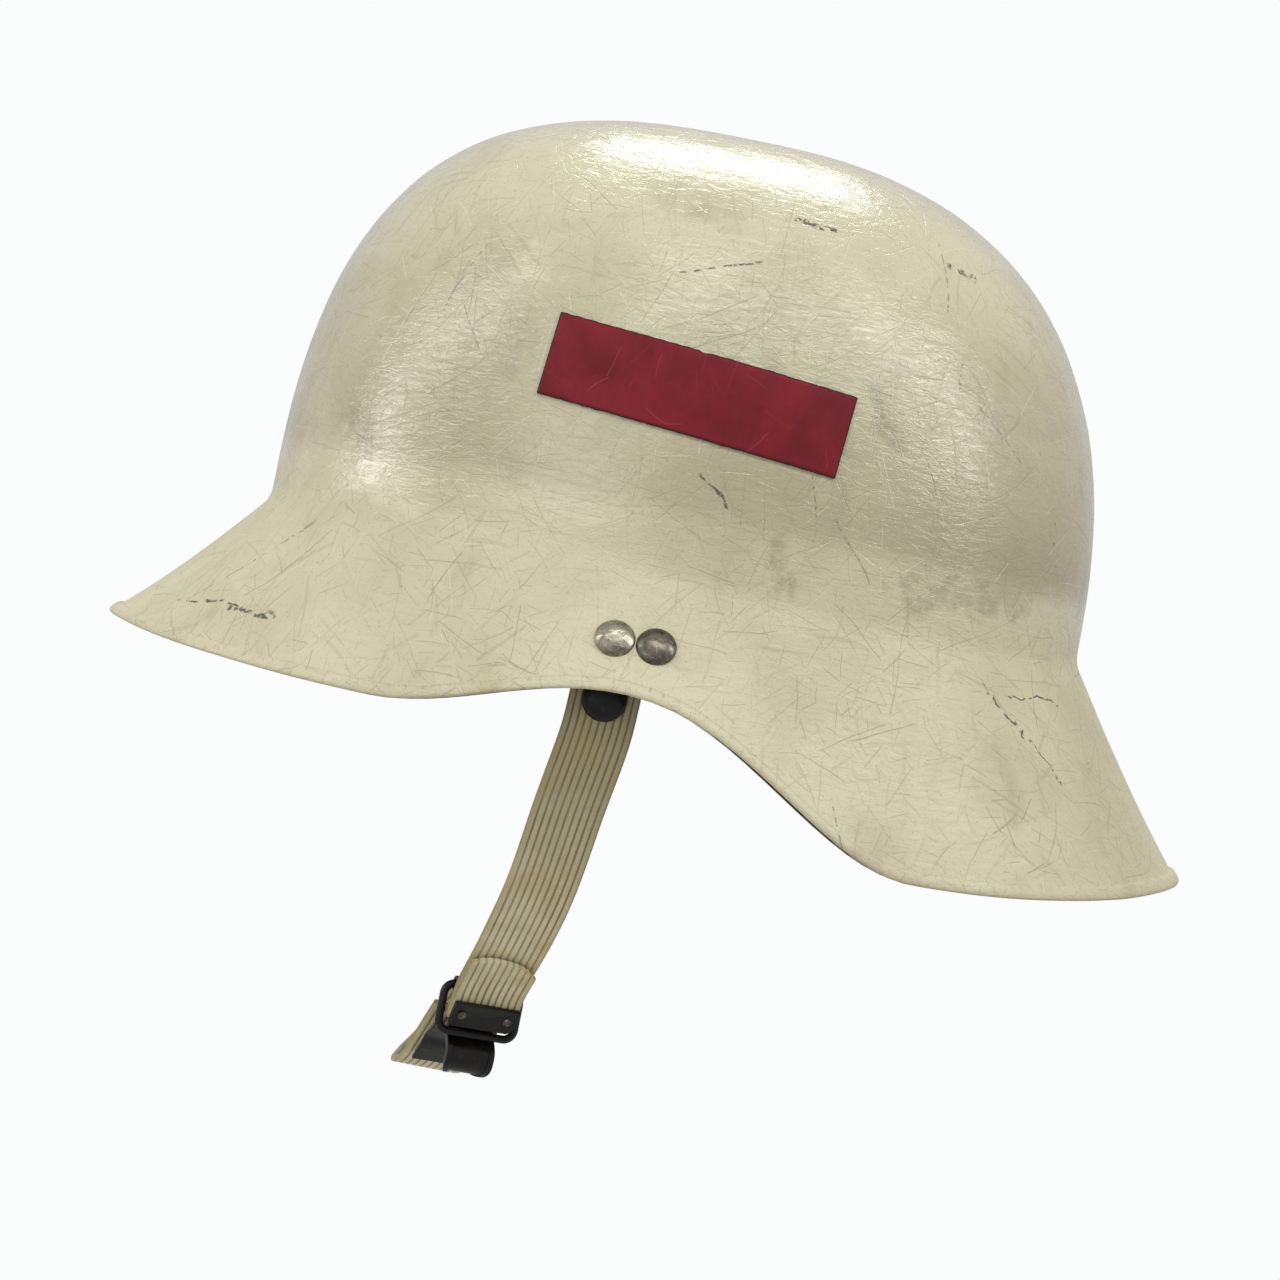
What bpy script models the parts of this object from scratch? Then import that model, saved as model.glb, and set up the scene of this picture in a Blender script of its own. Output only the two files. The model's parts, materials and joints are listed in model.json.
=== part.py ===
"""Fire helmet: flared moulded shell, riveted liner brackets, liner cradle, buckled chin strap.

Metres, +Z up. The front is at -X and the wearer's left at -Y. The origin is the centre
of the dome's base, level with the top of the flare, where the helmet sits on a head.
"""
import math

import bmesh
import bpy
from mathutils import Matrix, Vector
from mathutils.bvhtree import BVHTree

MM = 0.001
GAP = 0.3 * MM

# Dome: a closed Lame shape, a little longer in front, standing on the crease level.
DOME_HEIGHT = 130.2 * MM
DOME_FRONT = 120.2 * MM
DOME_REAR = 119.2 * MM
DOME_SIDE = 100.0 * MM
FRONT_POWER = 2.87
SIDE_POWER = 2.4
REAR_POWER = 2.5
PLAN_POWER = 2.15
CREASE_WAVE = 9.0 * MM
CREASE_FILLET = 3.6 * MM

# Flare: the visor, the ear arches and the neck guard, by reach out and drop down.
VISOR_REACH = 38.9 * MM
NECK_REACH = 41.7 * MM
SIDE_REACH = 18.5 * MM
EAR_DROP = 33.7 * MM
RIM_DROPS = (
    (0.0, 41.0 * MM),
    (64.0, 47.6 * MM),
    (87.5, EAR_DROP),
    (117.0, 68.3 * MM),
    (180.0, 56.0 * MM),
)
FLARE_HOLLOW = 1.0 * MM
SHELL_WALL = 3.0 * MM
SHELL_COLUMNS = 60
DOME_ROWS = 11
FILLET_ROWS = 3
FLARE_ROWS = 4

# Coloured side patches.
PATCH_LENGTH = 83.5 * MM
PATCH_HEIGHT = 23.0 * MM
PATCH_CENTRE_X = -4.4 * MM
PATCH_CENTRE_Z = 49.3 * MM
PATCH_TILT = math.radians(4.6)
PATCH_WALL = 0.4 * MM

# Shell rivets, in pairs over each liner bracket.
RIVET_XS = (-12.9 * MM, -1.7 * MM)
RIVET_ABOVE_RIM = 14.1 * MM
RIVET_Z = RIVET_ABOVE_RIM - EAR_DROP
RIVET_HEAD = 5.2 * MM
RIVET_DOME = 1.9 * MM
RIVET_SHANK = 2.0 * MM
RIVET_TAIL = 3.2 * MM
RIVET_TAIL_WALL = 1.3 * MM
RIVET_BORE_LENGTH = 30.0 * MM
RUN_CLEARANCE = 0.3 * MM
WASHER_WALL = 0.8 * MM
WASHER_RADIUS = 4.4 * MM

# Liner brackets: a vertical leg with an arm and a sloped pad against the flare.
BUTTON_EDGE = 6.8 * MM
BRACKET_WALL = 1.6 * MM
BRACKET_WIDTH = 24.0 * MM
BRACKET_X = -7.0 * MM
BRACKET_TOP = 14.5 * MM
PIVOT_DROP = 16.6 * MM
BRACKET_BOTTOM = RIVET_Z - PIVOT_DROP - BUTTON_EDGE
LEG_WIDTH = 14.0 * MM
LEG_SHOULDER = RIVET_Z + 1.6 * MM
PAD_GAP = 0.8 * MM
PAD_HALF = 6.0 * MM
ARM_DROP = -RIVET_Z - 7.6 * MM

# Liner hoop and what hangs in it.
HOOP_END_ROOM = 7.2 * MM
HOOP_SIDE_ROOM = 9.0 * MM
HOOP_LENGTH = min(DOME_FRONT, DOME_REAR) - SHELL_WALL - HOOP_END_ROOM
HOOP_WIDTH = DOME_SIDE - SHELL_WALL - HOOP_SIDE_ROOM
HOOP_POWER = 2.3
HOOP_WALL = 2.0 * MM
HOOP_LOW = -2.0 * MM
HOOP_HIGH = 16.0 * MM
BUFFER_WIDTH = 16.0 * MM
BUFFER_GAP = 1.1 * MM
BUFFER_TRIM = 2.0 * MM
BUFFER_ROUND = 1.0 * MM
BUFFER_ANGLES = (0.0, 60.0, 120.0, 180.0, 240.0, 300.0)
BAND_ROOM = 8.0 * MM
BAND_SIDE = HOOP_WIDTH - BAND_ROOM
BAND_WALL = 1.4 * MM
BAND_FRONT = HOOP_LENGTH - 10.0 * MM
BAND_ARC_START = -22.0 * MM
BAND_LOW = -12.0 * MM
BAND_HIGH = 12.0 * MM
SWEAT_WALL = 1.6 * MM
SWEAT_END = -16.0 * MM
SWEAT_LOW = -16.0 * MM
SWEAT_HIGH = 14.0 * MM
NAPE_REAR = HOOP_LENGTH - 12.0 * MM
NAPE_ARC_START = 20.0 * MM
NAPE_END = -11.0 * MM
NAPE_WALL = 1.2 * MM
NAPE_LOW = -11.0 * MM
NAPE_HIGH = 3.0 * MM
NAPE_IN = 8.0 * MM
NAPE_OUT = 4.0 * MM
BAND_END = NAPE_ARC_START - NAPE_IN - 1.0 * MM
NAPE_STUD_X = 2.0 * MM
SLOT_DEPTH = 10.0 * MM
NAPE_STUD_Z = -6.0 * MM
STUD_SHANK = 1.6 * MM
STUD_HEAD = 3.4 * MM
STUD_CAP = 0.9 * MM
SPACER_RADIUS = 2.5 * MM
SPACER_X = -20.0 * MM
SPACER_Z = 9.0 * MM
SPACER_SLACK = 0.2 * MM

# Crown cradle: three straps that cross on top of the head.
STRAP_ANGLES = (90.0, 30.0, 150.0)
CROWN_WIDTH = 20.0 * MM
CROWN_REST = 1.0 * MM
CROWN_WALL = 1.2 * MM
CROWN_LOW = -1.0 * MM
CROWN_SPRING = 16.0 * MM
CROWN_ROOM = 27.2 * MM
CROWN_HEIGHT = DOME_HEIGHT - CROWN_ROOM
CROWN_FLAT = 18.0 * MM
CROWN_POWER = 2.2
CROWN_STUD_Z = 7.0 * MM
PAD_RADIUS = 32.0 * MM
PAD_WALL = 7.0 * MM

# Chin strap: pivot buttons on the bracket legs, the two straps and the buckle.
LEG_GAP = 0.7 * MM
PIVOT_X = -12.5 * MM
PIVOT_Z = RIVET_Z - PIVOT_DROP
LEG_Y = HOOP_WIDTH + BRACKET_WALL / 2 + LEG_GAP
STRAP_WIDTH = 19.4 * MM
STRAP_WALL = 1.8 * MM
STRAP_ABOVE_PIVOT = 7.0 * MM
BUTTON_RADIUS = 6.2 * MM
BUTTON_CAP = 3.0 * MM
BUTTON_SHANK = 2.5 * MM
BUTTON_FLANGE = 4.2 * MM
BUTTON_FLANGE_WALL = 1.2 * MM
BUCKLE_CENTRE = Vector((-28.9 * MM, -0.648 * LEG_Y, PIVOT_Z - 91.5 * MM))
BUCKLE_YAW = math.radians(20.0)
BUCKLE_TILT = math.radians(31.0)
# Strap centre stations: X, distance from the middle, depth below the pivot.
STRAP_ROUTE = (
    (-13.1 * MM, LEG_Y + 2.1 * MM, 11.3 * MM),
    (-15.9 * MM, LEG_Y - 1.9 * MM, 30.0 * MM),
    (-19.2 * MM, 0.888 * LEG_Y, 53.8 * MM),
    (-23.3 * MM, 0.804 * LEG_Y, 70.8 * MM),
)
# Under the chin, from the right to the left: X, Y, depth below the pivot.
CHIN_ROUTE = (
    (-29.5 * MM, 0.626 * LEG_Y, 92.3 * MM),
    (-37.5 * MM, 0.413 * LEG_Y, 108.3 * MM),
    (-42.5 * MM, 0.156 * LEG_Y, 115.3 * MM),
    (-43.0 * MM, -0.112 * LEG_Y, 115.6 * MM),
    (-39.5 * MM, -0.324 * LEG_Y, 110.8 * MM),
)
BUCKLE_LEAD = (9.0 * MM, 3.0 * MM)
FOLD_LEVEL = -1.6 * MM
FOLD_PITCH = 2.6 * MM
TAIL_LENGTH = 22.0 * MM
TONGUE_ROOM = 2.4 * MM
TONGUE_BELOW = 8.5 * MM
PLATE_WALL = 1.6 * MM
PLATE_HALF_HEIGHT = 3.9 * MM
BACK_WALL = 1.2 * MM
BACK_HALF_WIDTH = 8.6 * MM
SLEEVE_Z = 3.6 * MM
SLEEVE_RADIUS = 2.2 * MM
SLEEVE_BITE = 0.5 * MM
RING_BAR = 1.15 * MM
RING_DROP = 11.2 * MM
RING_REACH = 7.1 * MM
RING_CORNER = 3.0 * MM
RING_SIDE_GAP = 0.35 * MM
BUCKLE_RIVET_X = 6.7 * MM
BUCKLE_RIVET_SHANK = 0.9 * MM
BUCKLE_RIVET_HEAD = 1.3 * MM
BUCKLE_RIVET_CAP = 0.6 * MM
HOOK_WALL = 1.2 * MM
HOOK_WIDTH = 15.0 * MM
HOOK_PLATE_LENGTH = 24.0 * MM
HOOK_ANCHOR = 14.0 * MM
HOOK_LEAD = 2.0 * MM
TAB_TRIM = 1.0 * MM
# The hook's lip and its finger tab, as distances behind and above the buckle centre.
HOOK_LIP = (
    (4.6 * MM, -13.0 * MM),
    (1.6 * MM, -10.6 * MM),
    (0.4 * MM, -8.0 * MM),
    (-0.2 * MM, -6.2 * MM),
    (-1.7 * MM, -5.4 * MM),
)
FINGER_TAB = (
    (1.8 * MM, -11.3 * MM),
    (-2.0 * MM, -11.6 * MM),
    (-4.6 * MM, -12.4 * MM),
    (-6.0 * MM, -14.4 * MM),
    (-6.2 * MM, -16.6 * MM),
    (-5.2 * MM, -18.6 * MM),
    (-3.2 * MM, -19.8 * MM),
)

COLOURS = {
    "shell_cream": ((0.62, 0.58, 0.40), 0.35, 0.0),
    "patch_red": ((0.33, 0.02, 0.04), 0.55, 0.0),
    "nickel": ((0.42, 0.38, 0.32), 0.35, 1.0),
    "bracket_steel": ((0.30, 0.30, 0.31), 0.45, 1.0),
    "liner_plastic": ((0.06, 0.06, 0.06), 0.55, 0.0),
    "buffer_rubber": ((0.03, 0.03, 0.03), 0.85, 0.0),
    "leather": ((0.30, 0.15, 0.07), 0.60, 0.0),
    "webbing": ((0.45, 0.42, 0.33), 0.90, 0.0),
    "pad_foam": ((0.10, 0.10, 0.11), 0.95, 0.0),
    "strap_vinyl": ((0.60, 0.55, 0.36), 0.45, 0.0),
    "black_plastic": ((0.02, 0.02, 0.02), 0.40, 0.0),
}


def clear_scene():
    """Remove whatever the file opened with."""
    for old in list(bpy.data.objects):
        bpy.data.objects.remove(old, do_unlink=True)


def make_collection(name):
    """A new collection under the scene's own."""
    collection = bpy.data.collections.new(name)
    bpy.context.scene.collection.children.link(collection)
    return collection


def make_materials():
    """One Principled material for each colour entry."""
    made = {}
    for name, (colour, roughness, metallic) in COLOURS.items():
        material = bpy.data.materials.new(name)
        material.use_nodes = True
        shader = material.node_tree.nodes["Principled BSDF"]
        shader.inputs["Base Color"].default_value = (*colour, 1.0)
        shader.inputs["Roughness"].default_value = roughness
        shader.inputs["Metallic"].default_value = metallic
        made[name] = material
    return made


clear_scene()
PARTS = make_collection("fire_helmet")
CUTTERS = make_collection("cutters")
MATERIALS = make_materials()


def place(name, bm, slot, matrix=None, smooth=True):
    """Turn a bmesh into a part object with its material and its place."""
    mesh = bpy.data.meshes.new(name)
    bm.to_mesh(mesh)
    bm.free()
    if smooth:
        mesh.shade_smooth()
        mesh.set_sharp_from_angle(angle=math.radians(35.0))
    part = bpy.data.objects.new(name, mesh)
    part.data.materials.append(MATERIALS[slot])
    PARTS.objects.link(part)
    if matrix is not None:
        part.matrix_world = matrix
    return part


def thicken(part, wall, offset=0.0):
    """Give an open sheet its wall. Offset -1 goes behind the face, 0 is centred."""
    solid = part.modifiers.new("wall", "SOLIDIFY")
    solid.thickness = wall
    solid.offset = offset
    solid.use_even_offset = True
    return solid


def tool_object(name, bm, matrix):
    """A hidden tool body for a Boolean."""
    mesh = bpy.data.meshes.new(name)
    bm.to_mesh(mesh)
    bm.free()
    tool = bpy.data.objects.new(name, mesh)
    tool.matrix_world = matrix
    tool.hide_render = True
    tool.display_type = "WIRE"
    CUTTERS.objects.link(tool)
    return tool


def combine(part, tool, operation):
    """Cut a tool body from a part, or join it on."""
    step = part.modifiers.new(tool.name, "BOOLEAN")
    step.operation = operation
    step.solver = "EXACT"
    step.object = tool


def rod(radius, length, sides=20):
    """A closed cylinder along Z, centred."""
    bm = bmesh.new()
    bmesh.ops.create_cone(
        bm, cap_ends=True, segments=sides, radius1=radius, radius2=radius, depth=length
    )
    return bm


def block(size):
    """A closed box of the given size, centred."""
    bm = bmesh.new()
    bmesh.ops.create_cube(bm, size=1.0, matrix=Matrix.Diagonal((*size, 1.0)))
    return bm


def drill(part, name, matrix, radius, length=14.0 * MM):
    """A round hole along the matrix's Z axis."""
    combine(part, tool_object(name, rod(radius, length), matrix), "DIFFERENCE")


def turned(name, profile, slot, matrix, steps=16):
    """A turned piece: a profile of (radius, height) from the top down, swept by Screw."""
    bm = bmesh.new()
    corners = [bm.verts.new((radius, 0.0, height)) for radius, height in profile]
    for pair in zip(corners, corners[1:]):
        bm.edges.new(pair)
    part = place(name, bm, slot, matrix)
    screw = part.modifiers.new("turn", "SCREW")
    screw.axis = "Z"
    screw.steps = steps
    screw.render_steps = steps
    screw.use_merge_vertices = True
    screw.merge_threshold = 0.00005
    screw.use_smooth_shade = True
    return part


def frame_at(point, outward, along=Vector((1.0, 0.0, 0.0))):
    """A placement whose Z axis points outward and whose X axis follows a direction."""
    z_axis = outward.normalized()
    x_axis = (along - z_axis * along.dot(z_axis)).normalized()
    y_axis = z_axis.cross(x_axis)
    turn = Matrix((x_axis, y_axis, z_axis)).transposed().to_4x4()
    return Matrix.Translation(point) @ turn


# ---------------------------------------------------------------- shell


def plan_curve(angle, front, rear, side, power):
    """Point on an oval plan; the angle runs from the front over the wearer's left side."""
    across = math.cos(angle)
    over = math.sin(angle)
    length = front if across > 0 else rear
    x = -length * math.copysign(abs(across) ** (2.0 / power), across)
    y = -side * math.copysign(abs(over) ** (2.0 / power), over)
    return x, y


def rim_drop(angle):
    """Depth of the rim under the crease level, eased from station to station."""
    turn = abs(math.degrees(math.remainder(angle, math.tau)))
    for (low, drop), (high, next_drop) in zip(RIM_DROPS, RIM_DROPS[1:]):
        if turn <= high:
            share = (turn - low) / (high - low)
            ease = share * share * (3.0 - 2.0 * share)
            return drop + (next_drop - drop) * ease
    return RIM_DROPS[-1][1]


def dome_power(angle):
    """Roundness of the dome's upright section, square in front and rounder behind."""
    across = math.cos(angle)
    end = FRONT_POWER if across > 0 else REAR_POWER
    return SIDE_POWER + (end - SIDE_POWER) * across * across


def crease_height(angle):
    """The crease rises beside the temples and falls behind the ears."""
    return CREASE_WAVE * math.cos(angle) * math.sin(angle) ** 2


def shell_section(angle):
    """The outer line of one upright section, from the crown down to the rim."""
    power = dome_power(angle)
    base_x, base_y = plan_curve(angle, DOME_FRONT, DOME_REAR, DOME_SIDE, PLAN_POWER)
    rim_x, rim_y = plan_curve(
        angle,
        DOME_FRONT + VISOR_REACH,
        DOME_REAR + NECK_REACH,
        DOME_SIDE + SIDE_REACH,
        PLAN_POWER,
    )
    lift = crease_height(angle)
    crease = Vector((base_x, base_y, lift))
    rim = Vector((rim_x, rim_y, -rim_drop(angle)))
    end = math.acos((CREASE_FILLET / DOME_HEIGHT) ** (power / 2.0))
    line = []
    for row in range(DOME_ROWS + 1):
        turn = end * row / DOME_ROWS
        reach = math.sin(turn) ** (2.0 / power)
        height = DOME_HEIGHT * math.cos(turn) ** (2.0 / power)
        height += lift * (1.0 - height / DOME_HEIGHT) ** 2
        line.append(Vector((base_x * reach, base_y * reach, height)))
    flare = rim - crease
    start = crease + flare.normalized() * CREASE_FILLET
    top = line[-1]
    for row in range(1, FILLET_ROWS + 1):
        t = row / FILLET_ROWS
        line.append(top * (1 - t) ** 2 + crease * 2 * t * (1 - t) + start * t ** 2)
    inward = Vector((-base_x, -base_y, 0.0)).normalized()
    for row in range(1, FLARE_ROWS + 1):
        t = row / FLARE_ROWS
        hollow = FLARE_HOLLOW * math.sin(math.pi * t)
        line.append(start.lerp(rim, t) + (inward + Vector((0, 0, -1))) * hollow * 0.7)
    return line


def shell_skin():
    """The outer skin: a flat fan turned from one line, then lifted section by section."""
    rows = DOME_ROWS + FILLET_ROWS + FLARE_ROWS
    bm = bmesh.new()
    spoke = [bm.verts.new((-float(row), 0.0, 0.0)) for row in range(rows + 1)]
    edges = [bm.edges.new(pair) for pair in zip(spoke, spoke[1:])]
    bmesh.ops.spin(
        bm, geom=spoke + edges, axis=(0, 0, 1), cent=(0, 0, 0),
        angle=math.tau, steps=SHELL_COLUMNS, use_merge=True,
    )
    bmesh.ops.remove_doubles(bm, verts=bm.verts[:], dist=0.001)
    sections = {}
    for vert in bm.verts:
        row = round(vert.co.length)
        column = round(math.atan2(-vert.co.y, -vert.co.x) / math.tau * SHELL_COLUMNS)
        column %= SHELL_COLUMNS
        if column not in sections:
            sections[column] = shell_section(math.tau * column / SHELL_COLUMNS)
        vert.co = sections[column][row]
    bmesh.ops.recalc_face_normals(bm, faces=bm.faces[:])
    if max(bm.faces, key=lambda face: face.calc_center_median().z).normal.z < 0:
        bmesh.ops.reverse_faces(bm, faces=bm.faces[:])
    return bm


def skin_frame(tree, x, z, side):
    """Point and outward direction of the outer skin beside the head at a given X and Z."""
    start = Vector((x, side * 0.3, z))
    point, normal, _, _ = tree.ray_cast(start, Vector((0.0, -side, 0.0)))
    return point, normal


def make_shell():
    """The moulded shell with its rivet holes, and the tree that finds points on it."""
    bm = shell_skin()
    tree = BVHTree.FromBMesh(bm)
    shell = place("shell", bm, "shell_cream")
    thicken(shell, SHELL_WALL, -1.0)
    return shell, tree


def make_patch(tree, side, word):
    """A thin coloured film that follows the dome's side."""
    bm = bmesh.new()
    bmesh.ops.create_grid(bm, x_segments=10, y_segments=3, size=0.5)
    for vert in bm.verts:
        along = vert.co.x * PATCH_LENGTH
        up = vert.co.y * PATCH_HEIGHT
        x = PATCH_CENTRE_X + along * math.cos(PATCH_TILT) + up * math.sin(PATCH_TILT)
        z = PATCH_CENTRE_Z - along * math.sin(PATCH_TILT) + up * math.cos(PATCH_TILT)
        point, normal = skin_frame(tree, x, z, side)
        vert.co = point + normal * (GAP + PATCH_WALL)
    thicken(place("red_patch_" + word, bm, "patch_red"), PATCH_WALL, 0.0)


# ---------------------------------------------------------------- rivets and brackets


def rivet_stack():
    """Heights along a shell rivet, counted outward from the shell's outer skin."""
    pad_outer = -SHELL_WALL - PAD_GAP
    pad_inner = pad_outer - BRACKET_WALL
    washer_outer = pad_inner - GAP
    washer_inner = washer_outer - WASHER_WALL
    return pad_outer, pad_inner, washer_outer, washer_inner


def make_rivet(name, matrix):
    """A domed rivet through the shell and the bracket pad, with its washer."""
    washer_outer, washer_inner = rivet_stack()[2:]
    tail = washer_inner - GAP
    profile = [(0.0, GAP + RIVET_DOME)]
    for degrees in (25.0, 50.0, 72.0):
        turn = math.radians(degrees)
        profile.append((RIVET_HEAD * math.sin(turn), GAP + RIVET_DOME * math.cos(turn)))
    profile += [
        (RIVET_HEAD, GAP),
        (RIVET_SHANK, GAP),
        (RIVET_SHANK, tail),
        (RIVET_TAIL, tail),
        (RIVET_TAIL * 0.7, tail - RIVET_TAIL_WALL * 0.85),
        (0.0, tail - RIVET_TAIL_WALL),
    ]
    turned("shell_rivet_" + name, profile, "nickel", matrix)
    bore = RIVET_SHANK + RUN_CLEARANCE
    ring = [
        (bore, washer_outer),
        (WASHER_RADIUS, washer_outer),
        (WASHER_RADIUS, washer_inner),
        (bore, washer_inner),
        (bore, washer_outer),
    ]
    turned("rivet_washer_" + name, ring, "nickel", matrix)


def bent_strip(points, width, centre_x):
    """An open sheet along a line of (y, z) points, as wide as the strip along X."""
    bm = bmesh.new()
    line = [bm.verts.new((centre_x - width / 2, y, z)) for y, z in points]
    edges = [bm.edges.new(pair) for pair in zip(line, line[1:])]
    grown = bmesh.ops.extrude_edge_only(bm, edges=edges)["geom"]
    verts = [item for item in grown if isinstance(item, bmesh.types.BMVert)]
    bmesh.ops.translate(bm, verts=verts, vec=(width, 0.0, 0.0))
    return bm


def bracket_leg(side, word):
    """The upright leg beside the hoop, narrower below the shoulder where the strap hangs."""
    height = BRACKET_TOP - BRACKET_BOTTOM
    centre = Vector((BRACKET_X, side * LEG_Y, (BRACKET_TOP + BRACKET_BOTTOM) / 2))
    leg = place(
        "side_bracket_" + word, block((BRACKET_WIDTH, BRACKET_WALL, height)), "bracket_steel",
        Matrix.Translation(centre), smooth=False,
    )
    relief = block((BRACKET_WIDTH, 4 * BRACKET_WALL, height))
    relief_x = PIVOT_X + (LEG_WIDTH + BRACKET_WIDTH) / 2
    relief_at = Matrix.Translation((relief_x, side * LEG_Y, LEG_SHOULDER - height / 2))
    combine(leg, tool_object("leg_relief_" + word, relief, relief_at), "DIFFERENCE")
    return leg


def bracket_arm(middle, normal, side, word):
    """The arm that bends outward from the leg to a pad flat against the shell."""
    pad_outer, pad_inner = rivet_stack()[:2]
    pad_centre = middle + normal * (pad_outer + pad_inner) / 2
    down = Vector((0.0, -normal.z * -side, -abs(normal.y)))
    pad_top = pad_centre - down * PAD_HALF
    pad_end = pad_centre + down * PAD_HALF
    line = [(side * LEG_Y, -ARM_DROP), (pad_top.y, pad_top.z), (pad_end.y, pad_end.z)]
    arm = tool_object(
        "arm_" + word, bent_strip(line, BRACKET_WIDTH - 2 * GAP, BRACKET_X), Matrix()
    )
    thicken(arm, BRACKET_WALL)
    return arm


def make_bracket(tree, shell, side, word):
    """One side's rivets and the bent bracket that carries the hoop and the strap."""
    spots = [skin_frame(tree, x, RIVET_Z, side) for x in RIVET_XS]
    normal = sum((spot[1] for spot in spots), Vector())
    normal = Vector((0.0, normal.y, normal.z)).normalized()
    middle = sum((spot[0] for spot in spots), Vector()) / len(spots)
    bracket = bracket_leg(side, word)
    combine(bracket, bracket_arm(middle, normal, side, word), "UNION")
    hole = RIVET_SHANK + RUN_CLEARANCE
    for (point, _), end in zip(spots, ("front", "rear")):
        matrix = frame_at(point, normal)
        name = word + "_" + end
        make_rivet(name, matrix)
        bore = tool_object("rivet_hole_" + name, rod(hole, RIVET_BORE_LENGTH), matrix)
        combine(bracket, bore, "DIFFERENCE")
        combine(shell, bore, "DIFFERENCE")
    outward = Vector((0.0, side, 0.0))
    pivot = frame_at(Vector((PIVOT_X, side * LEG_Y, PIVOT_Z)), outward)
    drill(bracket, "button_hole_" + word, pivot, BUTTON_SHANK + RUN_CLEARANCE)
    stud = frame_at(Vector((0.0, side * LEG_Y, CROWN_STUD_Z)), outward)
    drill(bracket, "stud_hole_" + word, stud, STUD_SHANK + RUN_CLEARANCE)
    make_button(pivot, word)


def make_button(pivot, word):
    """The pivot button that holds a strap end against the bracket leg."""
    under = BRACKET_WALL / 2 + GAP + STRAP_WALL + GAP
    back = -BRACKET_WALL / 2 - GAP
    profile = [
        (0.0, under + BUTTON_CAP),
        (BUTTON_RADIUS * 0.72, under + BUTTON_CAP * 0.93),
        (BUTTON_RADIUS * 0.94, under + BUTTON_CAP * 0.66),
        (BUTTON_RADIUS, under + BUTTON_CAP * 0.3),
        (BUTTON_RADIUS * 0.97, under),
        (BUTTON_SHANK, under),
        (BUTTON_SHANK, back),
        (BUTTON_FLANGE, back),
        (BUTTON_FLANGE * 0.9, back - BUTTON_FLANGE_WALL * 0.9),
        (0.0, back - BUTTON_FLANGE_WALL),
    ]
    turned("strap_button_" + word, profile, "black_plastic", pivot, steps=20)


# ---------------------------------------------------------------- liner


def hoop_point(angle, inset=0.0):
    """Plan point of the hoop's outer wall, moved inward by an inset."""
    return plan_curve(
        angle, HOOP_LENGTH - inset, HOOP_LENGTH - inset, HOOP_WIDTH - inset, HOOP_POWER
    )


def upright_band(points, low, high, closed=False):
    """An upright open sheet that follows plan points, from a low to a high level."""
    bm = bmesh.new()
    line = [bm.verts.new((x, y, low)) for x, y in points]
    pairs = list(zip(line, line[1:]))
    if closed:
        pairs.append((line[-1], line[0]))
    edges = [bm.edges.new(pair) for pair in pairs]
    grown = bmesh.ops.extrude_edge_only(bm, edges=edges)["geom"]
    verts = [item for item in grown if isinstance(item, bmesh.types.BMVert)]
    bmesh.ops.translate(bm, verts=verts, vec=(0.0, 0.0, high - low))
    bmesh.ops.recalc_face_normals(bm, faces=bm.faces[:])
    return bm


def make_hoop():
    """The closed oval hoop that carries the cradle."""
    steps = 48
    points = [hoop_point(math.tau * i / steps, HOOP_WALL / 2) for i in range(steps)]
    bm = upright_band(points, HOOP_LOW, HOOP_HIGH, closed=True)
    hoop = place("liner_hoop", bm, "liner_plastic")
    thicken(hoop, HOOP_WALL)
    return hoop


def head_arc(start_x, tip_x, side, steps):
    """Half oval from the right side over the tip to the left side."""
    points = []
    for i in range(steps + 1):
        turn = math.pi * i / steps - math.pi / 2
        x = start_x + (tip_x - start_x) * math.cos(turn)
        points.append((x, -side * math.sin(turn)))
    return points


def make_headband():
    """The front band of the head size system, with a slot for each size stud."""
    arc = head_arc(BAND_ARC_START, -BAND_FRONT, BAND_SIDE, 20)
    points = [(BAND_END, BAND_SIDE)] + arc + [(BAND_END, -BAND_SIDE)]
    band = place("headband", upright_band(points, BAND_LOW, BAND_HIGH), "liner_plastic")
    thicken(band, BAND_WALL)
    shank = STUD_SHANK + RUN_CLEARANCE
    low = NAPE_STUD_X - NAPE_IN - shank
    high = NAPE_STUD_X + NAPE_OUT + shank
    for side, word in ((-1, "left"), (1, "right")):
        size = (high - low, SLOT_DEPTH, 2 * shank)
        centre = Vector(((low + high) / 2, side * BAND_SIDE, NAPE_STUD_Z))
        slot = tool_object("size_slot_" + word, block(size), Matrix.Translation(centre))
        combine(band, slot, "DIFFERENCE")
    return band


def make_sweatband():
    """The leather band against the forehead."""
    inset = BAND_WALL / 2 + GAP + SWEAT_WALL / 2
    arc = head_arc(BAND_ARC_START, -BAND_FRONT + inset, BAND_SIDE - inset, 20)
    end = BAND_SIDE - inset
    points = [(SWEAT_END, end)] + arc + [(SWEAT_END, -end)]
    band = place("sweatband", upright_band(points, SWEAT_LOW, SWEAT_HIGH), "leather")
    thicken(band, SWEAT_WALL)


def make_nape_band():
    """The rear band, which slides outside the headband to set the head size."""
    side = BAND_SIDE + BAND_WALL / 2 + GAP + NAPE_WALL / 2
    arc = head_arc(NAPE_ARC_START, NAPE_REAR, side, 20)
    points = [(NAPE_END, side)] + arc + [(NAPE_END, -side)]
    band = place("nape_band", upright_band(points, NAPE_LOW, NAPE_HIGH), "liner_plastic")
    thicken(band, NAPE_WALL)
    head = BAND_WALL / 2 + GAP + NAPE_WALL + GAP
    back = -BAND_WALL / 2 - GAP
    for way, word in ((-1, "left"), (1, "right")):
        point = Vector((NAPE_STUD_X, way * BAND_SIDE, NAPE_STUD_Z))
        matrix = frame_at(point, Vector((0.0, way, 0.0)))
        drill(band, "nape_hole_" + word, matrix, STUD_SHANK + RUN_CLEARANCE)
        make_stud("nape_stud_" + word, matrix, head, back)


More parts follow.
